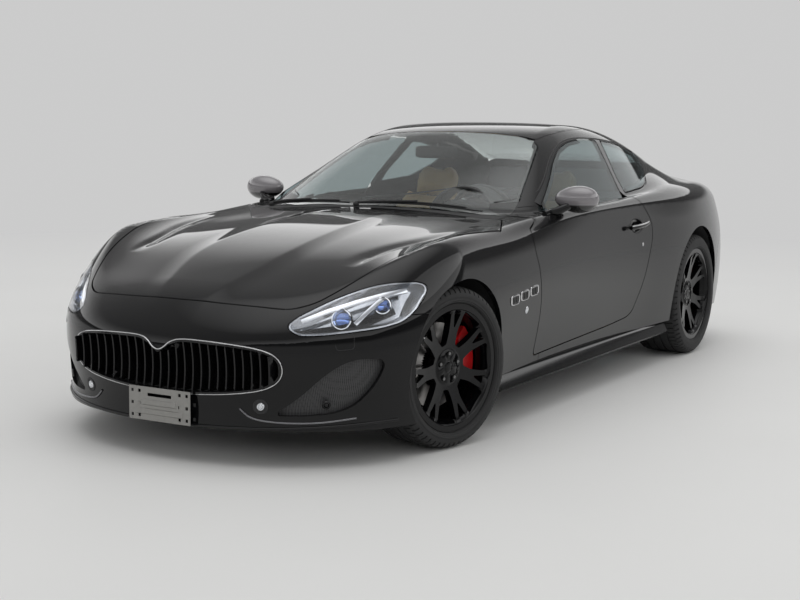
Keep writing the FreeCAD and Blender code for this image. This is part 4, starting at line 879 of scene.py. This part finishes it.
def refined(name, angle=32.0):
    """A merged and smoothed copy of a CAD node that stands for it."""
    mesh = nodes[name].data.copy()
    work = bmesh.new()
    work.from_mesh(mesh)
    bmesh.ops.remove_doubles(work, verts=work.verts, dist=MERGE)
    work.to_mesh(mesh)
    work.free()
    piece = bpy.data.objects.new(name + "_finished", mesh)
    bpy.context.scene.collection.objects.link(piece)
    settle(piece, angle)
    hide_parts(name)
    give(piece, body_named(name), slot_named[name])
    return piece


def second_finish(piece, slot, test):
    """Give the faces that pass a test on middle and normal a second finish."""
    piece.data.materials.append(finishes[slot])
    for face in piece.data.polygons:
        if test(face.center, face.normal):
            face.material_index = 1


# Wheels. Each is modelled about the X axis with its outer face to +X and copied to its place. The values are
# its place (x, s, z), the tyre's width and how far out the rim's face stands
WHEELS = {"front": (793.0, 902.0, 340.0, 245.0, 92.0), "rear": (795.0, 3844.0, 354.0, 285.0, 104.0)}
DISC_R = {"front": 0.182, "rear": 0.172}
DISC_REACH = 0.016
BOLT_RING = 57
VALVE_RING = 231
TREAD_CELLS = 252
KINGPIN_X = 742.0
STEER_AT_REST = math.radians(-12)


def wheel_matrix(end, side):
    x, s, z = WHEELS[end][:3]
    out = Matrix.Translation(metres(x, s, z))
    if side == "right":
        out = MIRROR @ out
    if end == "front":
        pin = metres(KINGPIN_X if side == "left" else -KINGPIN_X, s, z)
        steer = Matrix.Translation(pin) @ Matrix.Rotation(STEER_AT_REST, 4, "Z") @ Matrix.Translation(-pin)
        out = steer @ out
    return out


def tyre_marks(radius, width):
    """Half of a tyre's section from the bead to the middle of the tread, with sidewall rings and grooves."""
    w = width / 2
    half = [(w - 18, 255), (w - 18, 271), (w - 8, 273), (w - 3, 277), (w - 3, 280), (w + 0.5, 283),
            (w + 1.8, 296), (w + 1.6, radius - 46), (w + 0.4, radius - 42), (w + 0.6, radius - 34),
            (w - 2, radius - 26), (w - 7, radius - 17), (w - 15, radius - 9), (w - 27, radius - 4.5)]
    for groove in (0.5 * w, 0.17 * w):
        top = radius - 3.5 * (groove / w) ** 2
        half += [(groove + 5.5, top), (groove + 4, top - 7), (groove - 4, top - 7), (groove - 5.5, top)]
    return half


def make_tyre(end):
    radius, width = WHEELS[end][2:4]
    half = tyre_marks(radius, width)
    marks = half + [(-a, r) for a, r in half[::-1]] + [half[0]]
    piece = turned(end + "_tyre_shape", marks, TREAD_CELLS)
    edit()

    def shoulder(middle, normal):
        turn = math.atan2(middle.z, middle.y) % (2 * math.pi)
        place = abs(middle.x) * 1000
        far = math.hypot(middle.y, middle.z) * 1000
        cell = int(turn / (2 * math.pi) * TREAD_CELLS)
        outer = width / 2 - 26 < place < width / 2 - 3 and far > radius - 24
        inner = 0.5 * width / 2 + 6 < place < width / 2 - 26 and far > radius - 6
        return (outer and cell % 4 == 0) or (inner and cell % 4 == 2)

    pick_faces(piece, shoulder)
    bpy.ops.mesh.inset(thickness=0.0012, depth=-0.005, use_even_offset=False)
    done()
    return settle(piece, 34)


def make_bolt():
    """A wheel bolt: a hexagon head with a domed end."""
    head = begin("cylinder", "bolt", vertices=6, radius=0.0078, depth=0.012, rotation=(0, math.pi / 2, 0))
    edit()
    pick_faces(head, lambda middle, normal: normal.x > 0.9)
    bpy.ops.mesh.bevel(offset=0.0012, segments=2)
    pick_faces(head, lambda middle, normal: normal.x > 0.95)
    bpy.ops.mesh.inset(thickness=0.002, depth=-0.001)
    done()
    return settle(head)


def make_wheels():
    bolt = make_bolt()
    valve = turned("valve", [(0, 0), (0, 3.4), (18, 3.4), (19, 4.4), (29, 4.4), (30, 3.4), (30, 0)], 16)
    cap = turned("hub_cap", [(-12, 0), (-12, 25.5), (-2, 26.2), (0, 25.4), (1.0, 23.5), (0.2, 22.0),
                             (2.0, 16.0), (3.0, 8.0), (3.2, 0)], 48)
    for end in WHEELS:
        width, face = WHEELS[end][3:]
        shape = make_tyre(end)
        for side in ("left", "right"):
            matrix = wheel_matrix(end, side)
            node = "%s_tyre_%s" % (end, side)
            tyre = placed(shape, node + "_tread", matrix)
            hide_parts(node)
            give(tyre, body_named(node), "tyre")
            rim = refined("%s_rim_%s" % (end, side), 26)
            back = matrix.inverted()

            def on_disc(middle, normal):
                p = back @ middle
                return p.x < DISC_REACH and math.hypot(p.y, p.z) < DISC_R[end]

            second_finish(rim, "disc_steel", on_disc)
            body = body_named("%s_rim_%s" % (end, side))
            fasteners = []
            for i in range(5):
                turn = 2 * math.pi * (i + 0.25) / 5
                spot = Vector((face - 14, BOLT_RING * math.cos(turn), BOLT_RING * math.sin(turn))) / 1000
                fasteners.append(placed(bolt, "wheel_bolt", matrix @ Matrix.Translation(spot)))
            give(joined("wheel_bolts_%s_%s" % (end, side), fasteners), body, "bright_steel", "bolt_steel")
            spot = Matrix.Translation((face / 1000 - 0.014, 0, 0))
            give(placed(cap, "hub_cap_%s_%s" % (end, side), matrix @ spot), body, "black_alloy")
            spot = Matrix.Translation(Vector((width / 2 - 52, 0, VALVE_RING)) / 1000)
            turn = Matrix.Rotation(0.9, 4, "X")
            give(placed(valve, "tyre_valve_%s_%s" % (end, side), matrix @ turn @ spot), body, "bright_steel")
        drop(shape)
    drop(bolt, valve, cap)


# Headlamps: a dark tray, two turned lamp bowls with glass, a bright brow and a ribbed turn light
def make_lamps():
    lamp_spots = [("inner", (690, 352, 600), 36, 30), ("outer", (793, 505, 643), 30, 26)]
    for label, spot, radius, sink in lamp_spots:
        p = nose_at(spot[0], spot[2])
        way = Vector(outward_at(p)) * 0.55 + Vector((0.1, -1.0, 0.05))
        place = metres(*(p - outward_at(p) * sink))
        bowl = turned("lamp_bowl", [(-16, 0), (-15, radius * 0.5), (-8, radius * 0.82), (6, radius),
                                    (14, radius + 1), (14, radius + 4), (5, radius + 5), (-20, radius + 3),
                                    (-26, 12), (-26, 0)], 48)
        globe = turned("lamp_globe", [(-10, 0), (-10, radius * 0.72), (-6, radius * 0.76), (2, radius * 0.66),
                                      (9, radius * 0.42), (12, radius * 0.2), (13, 0)], 48)
        for side, flip in FLIPS:
            for part, slot, look in ((bowl, "lamp_metal", "lamp_chrome"), (globe, "clear_lens", "blue_lens")):
                piece = placed(part, "%s_%s_%s" % (part.name, label, side), flip @ aimed(place, way))
                give(settle(piece), "body", slot, look)
        drop(bowl, globe)


def lamp_strip(name, marks, width, height, depth, slot, finish_name):
    """A flat moulded strip that follows marks (x, z) of the nose, sunk behind the lens."""
    rows = []
    for x, z in marks:
        p = nose_at(x, z)
        n = outward_at(p)
        rows.append((p - n * depth, n))
    piece = begin("plane", name, size=0.01)
    edit()
    bpy.ops.mesh.delete(type="VERT")
    work = bmesh.from_edit_mesh(piece.data)
    rings = []
    for i, (p, n) in enumerate(rows):
        ahead = rows[min(i + 1, len(rows) - 1)][0] - rows[max(i - 1, 0)][0]
        across = np.cross(n, ahead)
        across /= np.linalg.norm(across)
        ring = []
        for a, b in ((-width / 2, 0), (-width / 2 + 3, height), (width / 2 - 3, height), (width / 2, 0)):
            ring.append(work.verts.new(metres(*(p + across * a + n * b))))
        rings.append(ring)
    for one, two in zip(rings, rings[1:]):
        for k in range(4):
            work.faces.new((one[k], one[(k + 1) % 4], two[(k + 1) % 4], two[k]))
    work.faces.new(rings[0])
    work.faces.new(rings[-1][::-1])
    bmesh.update_edit_mesh(piece.data)
    bpy.ops.mesh.select_all(action="SELECT")
    bpy.ops.mesh.normals_make_consistent(inside=False)
    done()
    add_modifier(piece, "BEVEL", width=0.001, segments=2, limit_method="ANGLE")
    settle(piece)
    for side in ("left", "right"):
        one = piece if side == "left" else placed(piece, name, MIRROR)
        one.name = name + "_" + side
        give(one, "body", slot, finish_name)


def make_lamp_trim():
    lamp_strip("lamp_brow", [(560, 585), (630, 622), (710, 655), (780, 678), (835, 690)], 24, 5, 14,
               "lamp_metal", "lamp_chrome")
    lamp_strip("lamp_tray", [(520, 538), (600, 552), (690, 562), (770, 590), (830, 625)], 36, 4, 40,
               "lamp_metal", "gloss_black")
    lamp_strip("lamp_fin", [(735, 572), (752, 610), (772, 650), (795, 682)], 22, 6, 16,
               "lamp_metal", "lamp_chrome")


# Nose: a bright bead round the grille, blades along the lip, washer covers and small round lamps
GRILLE_RIGHT = [(0, 446), (30, 458), (52, 480), (95, 496), (200, 496), (330, 490), (440, 478), (508, 452),
                (530, 400), (512, 350), (455, 316), (350, 296), (200, 281), (0, 273)]


def make_nose():
    right = [raised(nose_at(x, z), 3.6) for x, z in GRILLE_RIGHT]
    left = [np.array((-p[0], p[1], p[2])) for p in right[1:-1]]
    give(bead("grille_bead", right + left[::-1], 2.6, closed=True), "body", "gloss_black", "trim_chrome")
    lip = [(x, 152 + 0.00004 * x * x) for x in range(-840, 841, 60)]
    points = [raised(nose_at(x, z), 3.0) for x, z in lip]
    give(bead("splitter_edge", points, 7.0), "body", "gloss_black")
    for side, sign in SIGNS:
        marks = [(352, 236), (372, 216), (396, 200), (440, 190), (521, 184), (600, 184), (668, 188),
                 (740, 200)]
        points = [raised(nose_at(sign * x, z), 1.0) for x, z in marks]
        give(bead("lower_blade_" + side, points, 5.0), "body", "gloss_black", "dark_chrome")
        lamp = turned("eye", [(-4, 0), (-4, 15), (0, 17), (4, 14), (4.4, 11), (2, 9), (5, 6), (6, 0)], 32)
        cup = turned("cup", [(-2, 0), (-2, 29), (1.2, 31), (2.4, 27), (0.6, 22), (0.4, 0)], 32)
        for x, z, depth, look in ((434, 248, 0, "lamp_chrome"), (656, 256, 3, "gloss_black")):
            p = nose_at(sign * x, z)
            spot = aimed(metres(*(p - outward_at(p) * depth)), outward_at(p))
            give(settle(placed(lamp, "nose_eye_%d_%s" % (x, side), spot)), "body", "clear_lens", look)
            if not depth:
                give(settle(placed(cup, "nose_cup_" + side, spot)), "body", "matt_black")
        drop(lamp, cup)
        corners = [(683, 533), (738, 533), (744, 476), (694, 472)]
        ring = [raised(nose_at(sign * x, z), 0.4) for x, z in corners + corners[:1]]
        smooth = []
        for a, b in zip(ring, ring[1:]):
            smooth += [a * 0.88 + b * 0.12, a * 0.5 + b * 0.5, a * 0.12 + b * 0.88]
        give(bead("washer_cover_" + side, smooth, 1.3, closed=True), "body", "matt_black")


BRACKET = (0.312, 0.136)
BRACKET_CELLS = (26, 11)


def make_bracket():
    """A pressed number plate bracket with a slot, screw holes and two raised bands, on two short stays."""
    plate = begin("grid", "bracket_plate", x_subdivisions=BRACKET_CELLS[0], y_subdivisions=BRACKET_CELLS[1],
                  size=1)
    plate.scale = (*BRACKET, 1)
    settle(plate)

    def spot(middle):
        """The column and row of a face of the plate."""
        return tuple(int((at + size / 2) / (size / count))
                     for at, size, count in zip(middle, BRACKET, BRACKET_CELLS))

    edit()
    pick_faces(plate, lambda m, n: spot(m) in [(c, r) for c in (1, 4, 21, 24) for r in (1, 5, 9)]
               or (8 <= spot(m)[0] <= 17 and spot(m)[1] == 8))
    bpy.ops.mesh.delete(type="FACE")
    pick_faces(plate, lambda m, n: 3 <= spot(m)[0] <= 22 and spot(m)[1] in (2, 3))
    bpy.ops.mesh.inset(thickness=0.003, depth=0.004)
    pick_faces(plate, lambda m, n: 6 <= spot(m)[0] <= 19 and spot(m)[1] in (5, 6) and m.z < 0.001)
    bpy.ops.mesh.inset(thickness=0.003, depth=0.004)
    done()
    add_modifier(plate, "SOLIDIFY", thickness=0.003)
    add_modifier(plate, "BEVEL", width=0.0008, segments=1, limit_method="ANGLE", angle_limit=1.0)
    plate.rotation_euler = (math.pi / 2, 0, 0)
    plate.location = metres(0, 60, 221)
    settle(plate)
    stays = [block("stay", (x, 74, 220), (0.024, 0.026, 0.03), 0.1, 2) for x in (-110, 110)]
    piece = joined("bracket", [plate] + stays)
    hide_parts("number_plate_bracket")
    give(piece, "body", "bracket_metal")


def make_vents():
    """Bright frames round a dark back with raised slats in the three side vents, and a round turn light."""
    for side, flip in FLIPS:
        frames, backs = [], []
        for i in range(3):
            s, z = 1345 + i * 106, 549 + i * 10.5
            marks = [(s + 2, z + 2), (s + 84, z + 6), (s + 80, z + 45), (s - 2, z + 40)]
            ring = []
            for a, b in zip(marks, marks[1:] + marks[:1]):
                for share in (0.12, 0.5, 0.88):
                    ring.append((a[0] * (1 - share) + b[0] * share, a[1] * (1 - share) + b[1] * share))
            frames.append(bead("vent_frame", [raised(side_at(a, b), 1.5) for a, b in ring], 4.6, closed=True))
            back = laid("vent_back", marks, 9, 1, 0.8, side_at)
            edit()
            pick_faces(back, lambda m, n, row=[0]: row.append(0) or len(row) % 2 == 0)
            bpy.ops.mesh.inset(thickness=0.0012, depth=0.0022)
            done()
            backs.append(back)
        for name, pieces, slot, look in (("vent_frames_", frames, "bright_steel", "trim_chrome"),
                                         ("vent_backs_", backs, "matt_black", "gloss_black")):
            group = placed(joined(name, pieces), name + side, flip)
            drop(bpy.data.objects[name])
            give(settle(group), "body", slot, look)
        eye = turned("turn_light", [(-4, 0), (-4, 16), (1, 17), (3.5, 14), (5, 6), (5.2, 0)], 32)
        p = side_at(1533, 510)
        light = placed(eye, "turn_light_" + side, flip @ aimed(metres(*p), outward_at(p)))
        drop(eye)
        give(settle(light), "body", "clear_lens", "lamp_chrome")


def make_wipers():
    for name, pivot, low, high in (("driver", (-96, 1690), (-120, 1722), (565, 1762)),
                                   ("passenger", (-640, 1742), (-650, 1775), (-150, 1719))):
        base = raised(top_at(*pivot), 6)
        ends = [raised(top_at(*low), 9), raised(top_at(*high), 9)]
        steps = [ends[0] + (ends[1] - ends[0]) * k / 8 for k in range(9)]
        steps = [raised(top_at(p[0], p[1]), 9) for p in steps]
        blade = bead("blade", steps, 4.2)
        spine = bead("spine", [p + (0, 0, 8) for p in steps[1:-1]], 4.5)
        middle = steps[4] + (0, 0, 13)
        arm = bead("arm", [base + (0, 0, 12), base * 0.7 + middle * 0.3 + (0, 0, 14), middle], 6.0)
        hub = turned("hub", [(-16, 0), (-16, 15), (4, 15), (10, 11), (14, 0)], 32)
        post = placed(hub, "post", aimed(metres(*(base + (0, 0, 4))), (0, -0.2, 1), (0, 1, 0)))
        drop(hub)
        piece = joined("wiper_" + name, [blade, spine, arm, post])
        give(settle(piece), "body", "matt_black")


# Soft seats: each pad is a bolstered block, remeshed, blown up as cloth and smoothed. Sizes are in metres
PAD_CELL = 0.007
CLOTH_FRAMES = 20
CLOTH_REACH = 0.024


def pad(name, corner_low, corner_high, bolster, lean=None):
    """A pad between two corners (x, s, z); its sides stand proud by bolster along the face it offers."""
    low, high = metres(*corner_low), metres(*corner_high)
    piece = begin("cube", name, size=1, location=(low + high) / 2)
    piece.scale = high - low
    bpy.ops.object.transform_apply(location=False, rotation=False, scale=True)
    edit()
    bpy.ops.mesh.select_all(action="SELECT")
    bpy.ops.mesh.subdivide(number_cuts=9)
    done()
    size = high - low
    for v in piece.data.vertices:
        u = abs(v.co.x) / (size.x / 2)
        rise = bolster / 1000 * max(0.0, (u - 0.5) / 0.5) ** 1.5
        if size.z < size.y:
            if v.co.z > 0:
                v.co.z += rise - 0.012 * (1 - u)
                v.co.z -= 0.02 * max(0.0, (-v.co.y / size.y - 0.3)) * 5
            v.co.x *= 1 - 0.06 * max(0.0, v.co.y / size.y + 0.2)
        else:
            if v.co.y < 0:
                v.co.y -= rise - 0.012 * (1 - u)
            top = max(0.0, v.co.z / size.z - 0.1)
            v.co.x *= 1 - 2.0 * top * top - 0.05 * top
            v.co.y += 0.03 * top
    add_modifier(piece, "BEVEL", width=0.03, segments=3, limit_method="ANGLE", angle_limit=0.9)
    add_modifier(piece, "REMESH", mode="VOXEL", voxel_size=PAD_CELL)
    start = [v.co.copy() for v in piece.data.vertices]
    cloth = piece.modifiers.new("cloth", "CLOTH")
    cloth.settings.use_pressure = True
    cloth.settings.uniform_pressure_force = 4.0
    cloth.settings.effector_weights.gravity = 0.0
    cloth.settings.quality = 4
    cloth.point_cache.frame_start = 1
    cloth.point_cache.frame_end = CLOTH_FRAMES
    scene = bpy.context.scene
    for k in range(1, CLOTH_FRAMES + 1):
        scene.frame_set(k)
    choose(piece)
    bpy.ops.object.modifier_apply(modifier="cloth")
    scene.frame_set(1)
    for v, old in zip(piece.data.vertices, start):
        move = v.co - old
        if move.length > CLOTH_REACH:
            v.co = old + move * (CLOTH_REACH / move.length)
    add_modifier(piece, "SMOOTH", factor=0.5, iterations=6)
    if lean:
        piece.data.transform(leaning(*lean) @ Matrix.Translation(piece.location))
        piece.location = (0, 0, 0)
    settle(piece, 60)
    return piece


def make_seats():
    back_lean = (2850, 430, -18)
    rear_lean = (3620, 430, -20)
    x = 370
    front = [pad("front_cushion_left", (x - 235, 2345, 345), (x + 235, 2845, 468), 34),
             pad("front_back_left", (x - 225, 2805, 415), (x + 225, 2900, 965), 50, back_lean),
             pad("front_headrest_left", (x - 118, 2812, 950), (x + 118, 2890, 1118), 8, back_lean)]
    rear = [pad("rear_cushion_left", (100, 3165, 352), (508, 3560, 470), 20),
            pad("rear_back_left", (100, 3568, 415), (508, 3655, 880), 26, rear_lean)]
    base = block("seat_base_left", (x, 2590, 288), (0.37, 0.41, 0.16), 0.03)
    shell = block("seat_shell_left", (x, 2915, 690), (0.38, 0.03, 0.5), 0.012)
    posts = [bead("headrest_post_left_%d" % k, [(x + dx, 2852, 930), (x + dx, 2852, 975)], 6)
             for k, dx in enumerate((-55, 55))]
    for piece in [shell] + posts:
        piece.data.transform(leaning(*back_lean))
    for piece in front + rear + [base, shell] + posts:
        hard = piece in [base, shell]
        steel = piece in posts
        slot = "dark_steel" if steel else "tan_leather"
        look = "bright_steel" if steel else "matt_black" if hard else "tan_leather"
        other = placed(piece, piece.name.replace("_left", "_right"), MIRROR)
        for one in (piece, other):
            side = "left" if one is piece else "right"
            give(one, "body", slot, look)
            if piece in front:
                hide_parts("front_seat_" + side)
            elif piece in rear:
                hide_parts("rear_seats")


# Cabin: dials under the hood, a middle screen, air vents, and a boss on the steering wheel
def make_cabin():
    dial = turned("dial", [(-4, 0), (-4, 62), (4, 64), (7, 60), (3, 56), (2, 8), (5, 7), (5, 0)], 48)
    for k, x in enumerate((295, 445)):
        piece = placed(dial, "dial_%d" % k, aimed(metres(x, 2072, 905), (0, 1, 0.15)))
        give(settle(piece), "body", "dark_leather", "trim_chrome")
    drop(dial)
    hood = begin("cylinder", "dial_hood", vertices=48, radius=0.17, depth=0.2,
                 location=metres(370, 2000, 868), rotation=(math.pi / 2, 0, 0), end_fill_type="NOTHING")
    edit()
    bpy.ops.mesh.select_all(action="SELECT")
    bpy.ops.mesh.bisect(plane_co=metres(370, 2000, 872), plane_no=(0, 0, 1), clear_inner=True)
    done()
    add_modifier(hood, "SOLIDIFY", thickness=0.012, offset=-1)
    add_modifier(hood, "BEVEL", width=0.004, segments=3)
    hood.scale = (1.15, 1.0, 0.72)
    settle(hood)
    give(hood, "body", "dark_leather")
    screen = begin("cube", "middle_screen", size=1, location=metres(0, 2066, 815))
    screen.scale = (0.19, 0.02, 0.12)
    screen.rotation_euler = (math.radians(-8), 0, 0)
    edit()
    bpy.ops.mesh.bevel(offset=0.03, segments=3)
    pick_faces(screen, lambda middle, normal: normal.y > 0.9)
    bpy.ops.mesh.inset(thickness=0.04, depth=-0.1)
    done()
    give(settle(screen), "body", "gloss_black")
    for k, x in enumerate((-600, -120, 120, 600)):
        vent = begin("grid", "air_vent_%d" % k, x_subdivisions=2, y_subdivisions=9, size=1,
                     location=metres(x, 2072, 862), rotation=(math.radians(-90), 0, 0))
        vent.scale = (0.1, 0.05, 1)
        edit()
        pick_faces(vent, lambda m, n: int((m.y + 0.5) * 9) % 2 == 0)
        bpy.ops.mesh.inset(thickness=0.003, depth=-0.006)
        done()
        add_modifier(vent, "SOLIDIFY", thickness=0.002)
        give(settle(vent), "body", "dark_leather", "matt_black")
    tilt = math.radians(22)
    centre = metres(370, 2190, 862)
    way = (0, math.cos(tilt), math.sin(tilt))
    boss = turned("boss", [(-42, 0), (-40, 52), (-20, 70), (-8, 66), (2, 50), (5, 20), (5.5, 0)], 48)
    piece = settle(placed(boss, "wheel_boss", aimed(centre, way)))
    drop(boss)
    give(piece, "steering_wheel", "dark_leather")
    for k, way in enumerate((-1, 1)):
        lever = bead("stalk_%d" % k, [(370 + way * 60, 2110, 850), (370 + way * 150, 2120, 870),
                                      (370 + way * 205, 2135, 880)], 7)
        give(lever, "body", "matt_black")
    shift = bead("gear_lever", [(0, 2280, 615), (0, 2290, 660), (0, 2300, 700)], 15)
    give(shift, "body", "dark_leather")
    give(block("inside_mirror", (0, 2330, 1190), (0.24, 0.03, 0.065), 0.2, 4), "body", "matt_black",
         "gloss_black")
    stalk = bead("inside_mirror_stalk", [(0, 2330, 1200), (0, 2335, 1225),
                                         (0, 2345, top_at(0, 2345)[2] - 6)], 6)
    give(stalk, "body", "matt_black")


def make_mirrors():
    """Door mirrors: a rounded housing cut flat at the back with its glass set in, on a raised foot."""
    for side, sign in SIGNS:
        spot = metres(916, 2070, 988)
        cap = begin("uv_sphere", "mirror_cap", segments=64, ring_count=32, radius=1, location=spot)
        cap.scale = (0.111, 0.072, 0.065)
        bpy.ops.object.transform_apply(location=False, rotation=False, scale=True)
        edit()
        bpy.ops.mesh.select_all(action="SELECT")
        bpy.ops.mesh.bisect(plane_co=spot + Vector((0, 0.026, 0)), plane_no=(0, 1, 0), use_fill=True,
                            clear_outer=True)
        pick_faces(cap, lambda middle, normal: normal.y > 0.99 and middle.y > 0.025)
        bpy.ops.mesh.inset(thickness=0.005, depth=0)
        bpy.ops.mesh.inset(thickness=0.001, depth=-0.006)
        done()
        for v in cap.data.vertices:
            wide = v.co.x / 0.111
            v.co.z *= 1 + 0.12 * wide
            v.co.x += 0.006 * (v.co.z / 0.065) * wide
        settle(cap, 40)
        foot = bead("mirror_foot", [(800, 1960, 915), (842, 1968, 928), (876, 1990, 944), (902, 2024, 962),
                                    (912, 2062, 972)], 19)
        base = bead("mirror_base", [(822, 1905, 922), (829, 1955, 928), (826, 2010, 934)], 15)
        glass = begin("circle", "mirror_glass", vertices=64, radius=1, fill_type="NGON",
                      location=metres(916, 2092, 988), rotation=(-math.pi / 2, 0, 0))
        glass.scale = (0.094, 0.052, 1)
        add_modifier(glass, "SOLIDIFY", thickness=0.002)
        settle(glass)
        flip = Matrix.Identity(4) if sign > 0 else MIRROR
        # The cap's finish paints a reflection of the overhead light: grey above 0.962 m, black below.
        for piece, slot, look in ((cap, "grey_gloss", "grey_gloss"), (glass, "grey_gloss", "mirror_glass")):
            give(placed(piece, piece.name + "_" + side, flip), "door_" + side, slot, look)
        stand = placed(joined("mirror_stand", [foot, base]), "mirror_stand_" + side, flip)
        give(stand, "door_" + side, "grey_gloss", "black_paint")
        drop(cap, glass, bpy.data.objects["mirror_stand"])
        for piece in ("mirror_cap_", "mirror_glass_", "mirror_stand_"):
            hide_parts("door_mirror_" + side)


# The edge over the side windows, as (station, height)
WINDOW_LINE = [(1880, 968), (2012, 982), (2205, 1074), (2367, 1162), (2521, 1226), (2666, 1259),
               (2833, 1274), (3046, 1268), (3112, 1264), (3250, 1253), (3400, 1225), (3560, 1190)]


def make_seals():
    """A seal from each side window's frame to its glass, and the sail panel at its lower front corner."""
    frame_line = [(2000, 979)] + WINDOW_LINE[1:7]
    stations = [k[0] for k in frame_line]
    heights = [k[1] for k in frame_line]
    for side, sign in SIGNS:
        seal = begin("grid", "window_seal_" + side, x_subdivisions=40, y_subdivisions=3, size=1)
        for v in seal.data.vertices:
            u, w = v.co.x + 0.5, v.co.y + 0.5
            s = stations[0] + (stations[-1] - stations[0]) * u
            z = np.interp(s, stations, heights)
            outer = raised(side_at(s, z + 4), -2.5)
            inner = raised(side_at(s + 14, z - 26, side_glass), -6, side_glass)
            v.co = metres(*((outer * (1 - w) + inner * w) * (sign, 1, 1)))
        give(settle(seal, 60), "body", "matt_black")
        sail = laid("sail_" + side, [(1760, 902), (2046, 916), (2014, 984), (1865, 964)], 30, 12, -1.5,
                    lambda a, b: side_at(a, b))
        for v in sail.data.vertices:
            v.co.x *= sign
        if sign < 0:
            sail.data.flip_normals()
        give(settle(sail, 60), "body", "black_paint")


def make_trims():
    """Black seals along the side glass, door handles with a bright trim, drip rails over the side windows and
    door locks.
    """
    for side, sign in SIGNS:
        points = []
        for s, z in ((1975, 957), (2150, 961), (2350, 966), (2550, 972), (2750, 979), (2930, 988)):
            p = side_at(s, z - 12, lower_body)
            points.append((sign * (p[0] - 16), s, z - 4))
        give(bead("belt_seal_" + side, points, 4.5), "door_" + side, "matt_black")
        pull = [(922, 2788, 806), (935, 2830, 809), (942, 2900, 813), (941, 2970, 817), (931, 3014, 821)]
        pull = [np.array(k) * (sign, 1, 1) for k in pull]
        give(bead("handle_pull_" + side, pull, 12), "door_" + side, "black_paint")
        give(bead("handle_trim_" + side, [k + (sign * 5, 0, 9) for k in pull], 4.5), "door_" + side,
             "bright_steel", "trim_chrome")
        points = [raised(side_at(s, z), 0.0) * (sign, 1, 1) for s, z in WINDOW_LINE]
        give(bead("drip_rail_" + side, points, 4.0), "body", "matt_black")
        p = side_at(2981, 708, lower_body)
        lock = turned("lock", [(-3, 0), (-3, 9), (1, 10), (2.5, 8), (2.6, 0)], 32)
        give(settle(placed(lock, "door_lock_" + side, aimed(metres(*(p * (sign, 1, 1))), (sign, 0, 0)))),
             "door_" + side, "bright_steel", "trim_chrome")
        drop(lock)


def make_tail():
    """Lamp rings, reflectors and a diffuser edge under the tail."""
    for side, sign in SIGNS:
        for k, (x, z) in enumerate(((690, 885), (610, 890))):
            p = tail_at(sign * x, z)
            ring = turned("ring", [(-3, 20), (-3, 30), (1.5, 32), (3, 29), (2, 22), (-1, 20)], 40)
            give(settle(placed(ring, "tail_ring_%s_%d" % (side, k),
                               aimed(metres(*(p + outward_at(p) * 1.5)), outward_at(p) * (1, 1, 1)))),
                 "body", "red_lens", "lamp_chrome")
            drop(ring)
        marks = [tail_at(sign * x, 470) for x in (560, 620, 680, 730)]
        give(bead("rear_reflector_" + side, [raised(p, 1) for p in marks], 9), "body", "red_lens")
    rows = [raised(tail_at(x, 258), 2) for x in range(-700, 701, 70)]
    give(bead("diffuser_edge", rows, 8), "body", "matt_black")


set_camera()
make_groups()
set_studio()
finishes = make_finishes()
for name, node in nodes.items():
    node.data.materials.clear()
    node.data.materials.append(finishes[slot_named[name]])

PAINTED = ["wing_left", "wing_right", "body_side_left", "body_side_right", "roof", "boot_lid", "rear_bumper",
           "cowl", "windscreen", "rear_window", "quarter_windows"]
for name in PAINTED:
    slot = slot_named[name]
    dress(polished(name, skin), finishes["side_glass" if name == "quarter_windows" else slot])
dress(polished("bonnet", skin, creased_skin, 13.0), finishes["black_paint"])
dress(polished("front_bumper", skin, creased_skin, 20.0), finishes["black_paint"])
dress(polished("headlamp_lenses", skin, near=2.6), finishes["clear_lens"])
dress(polished("tail_lamps", skin, near=2.6), finishes["red_lens"])
for name in ("door_left", "door_right"):
    spot = side_at(CUP[0], CUP[1])
    out = 1 if name == "door_left" else -1
    piece = polished(name, lower_body, cupped_side, fine=[(*(spot * (out, 1, 1)), 95, 7.0)])
    dress(piece, finishes["black_paint"])
    second_finish(piece, "dark_leather",
                  lambda middle, normal: normal.x * out < -0.3 and abs(middle.x) < 0.88)
for name in ("door_glass_left", "door_glass_right"):
    dress(polished(name, side_glass), finishes["side_glass"])
for name in ("grille", "side_skirts", "steering_wheel", "exhaust",
             "front_caliper_left", "front_caliper_right", "rear_calipers"):
    refined(name)
dress(refined("intake_meshes"), finishes["net_black"])
make_wheels()
make_lamps()
make_lamp_trim()
make_nose()
make_bracket()
make_vents()
make_wipers()
make_mirrors()
make_seals()
make_trims()
make_cabin()
make_seats()
make_tail()
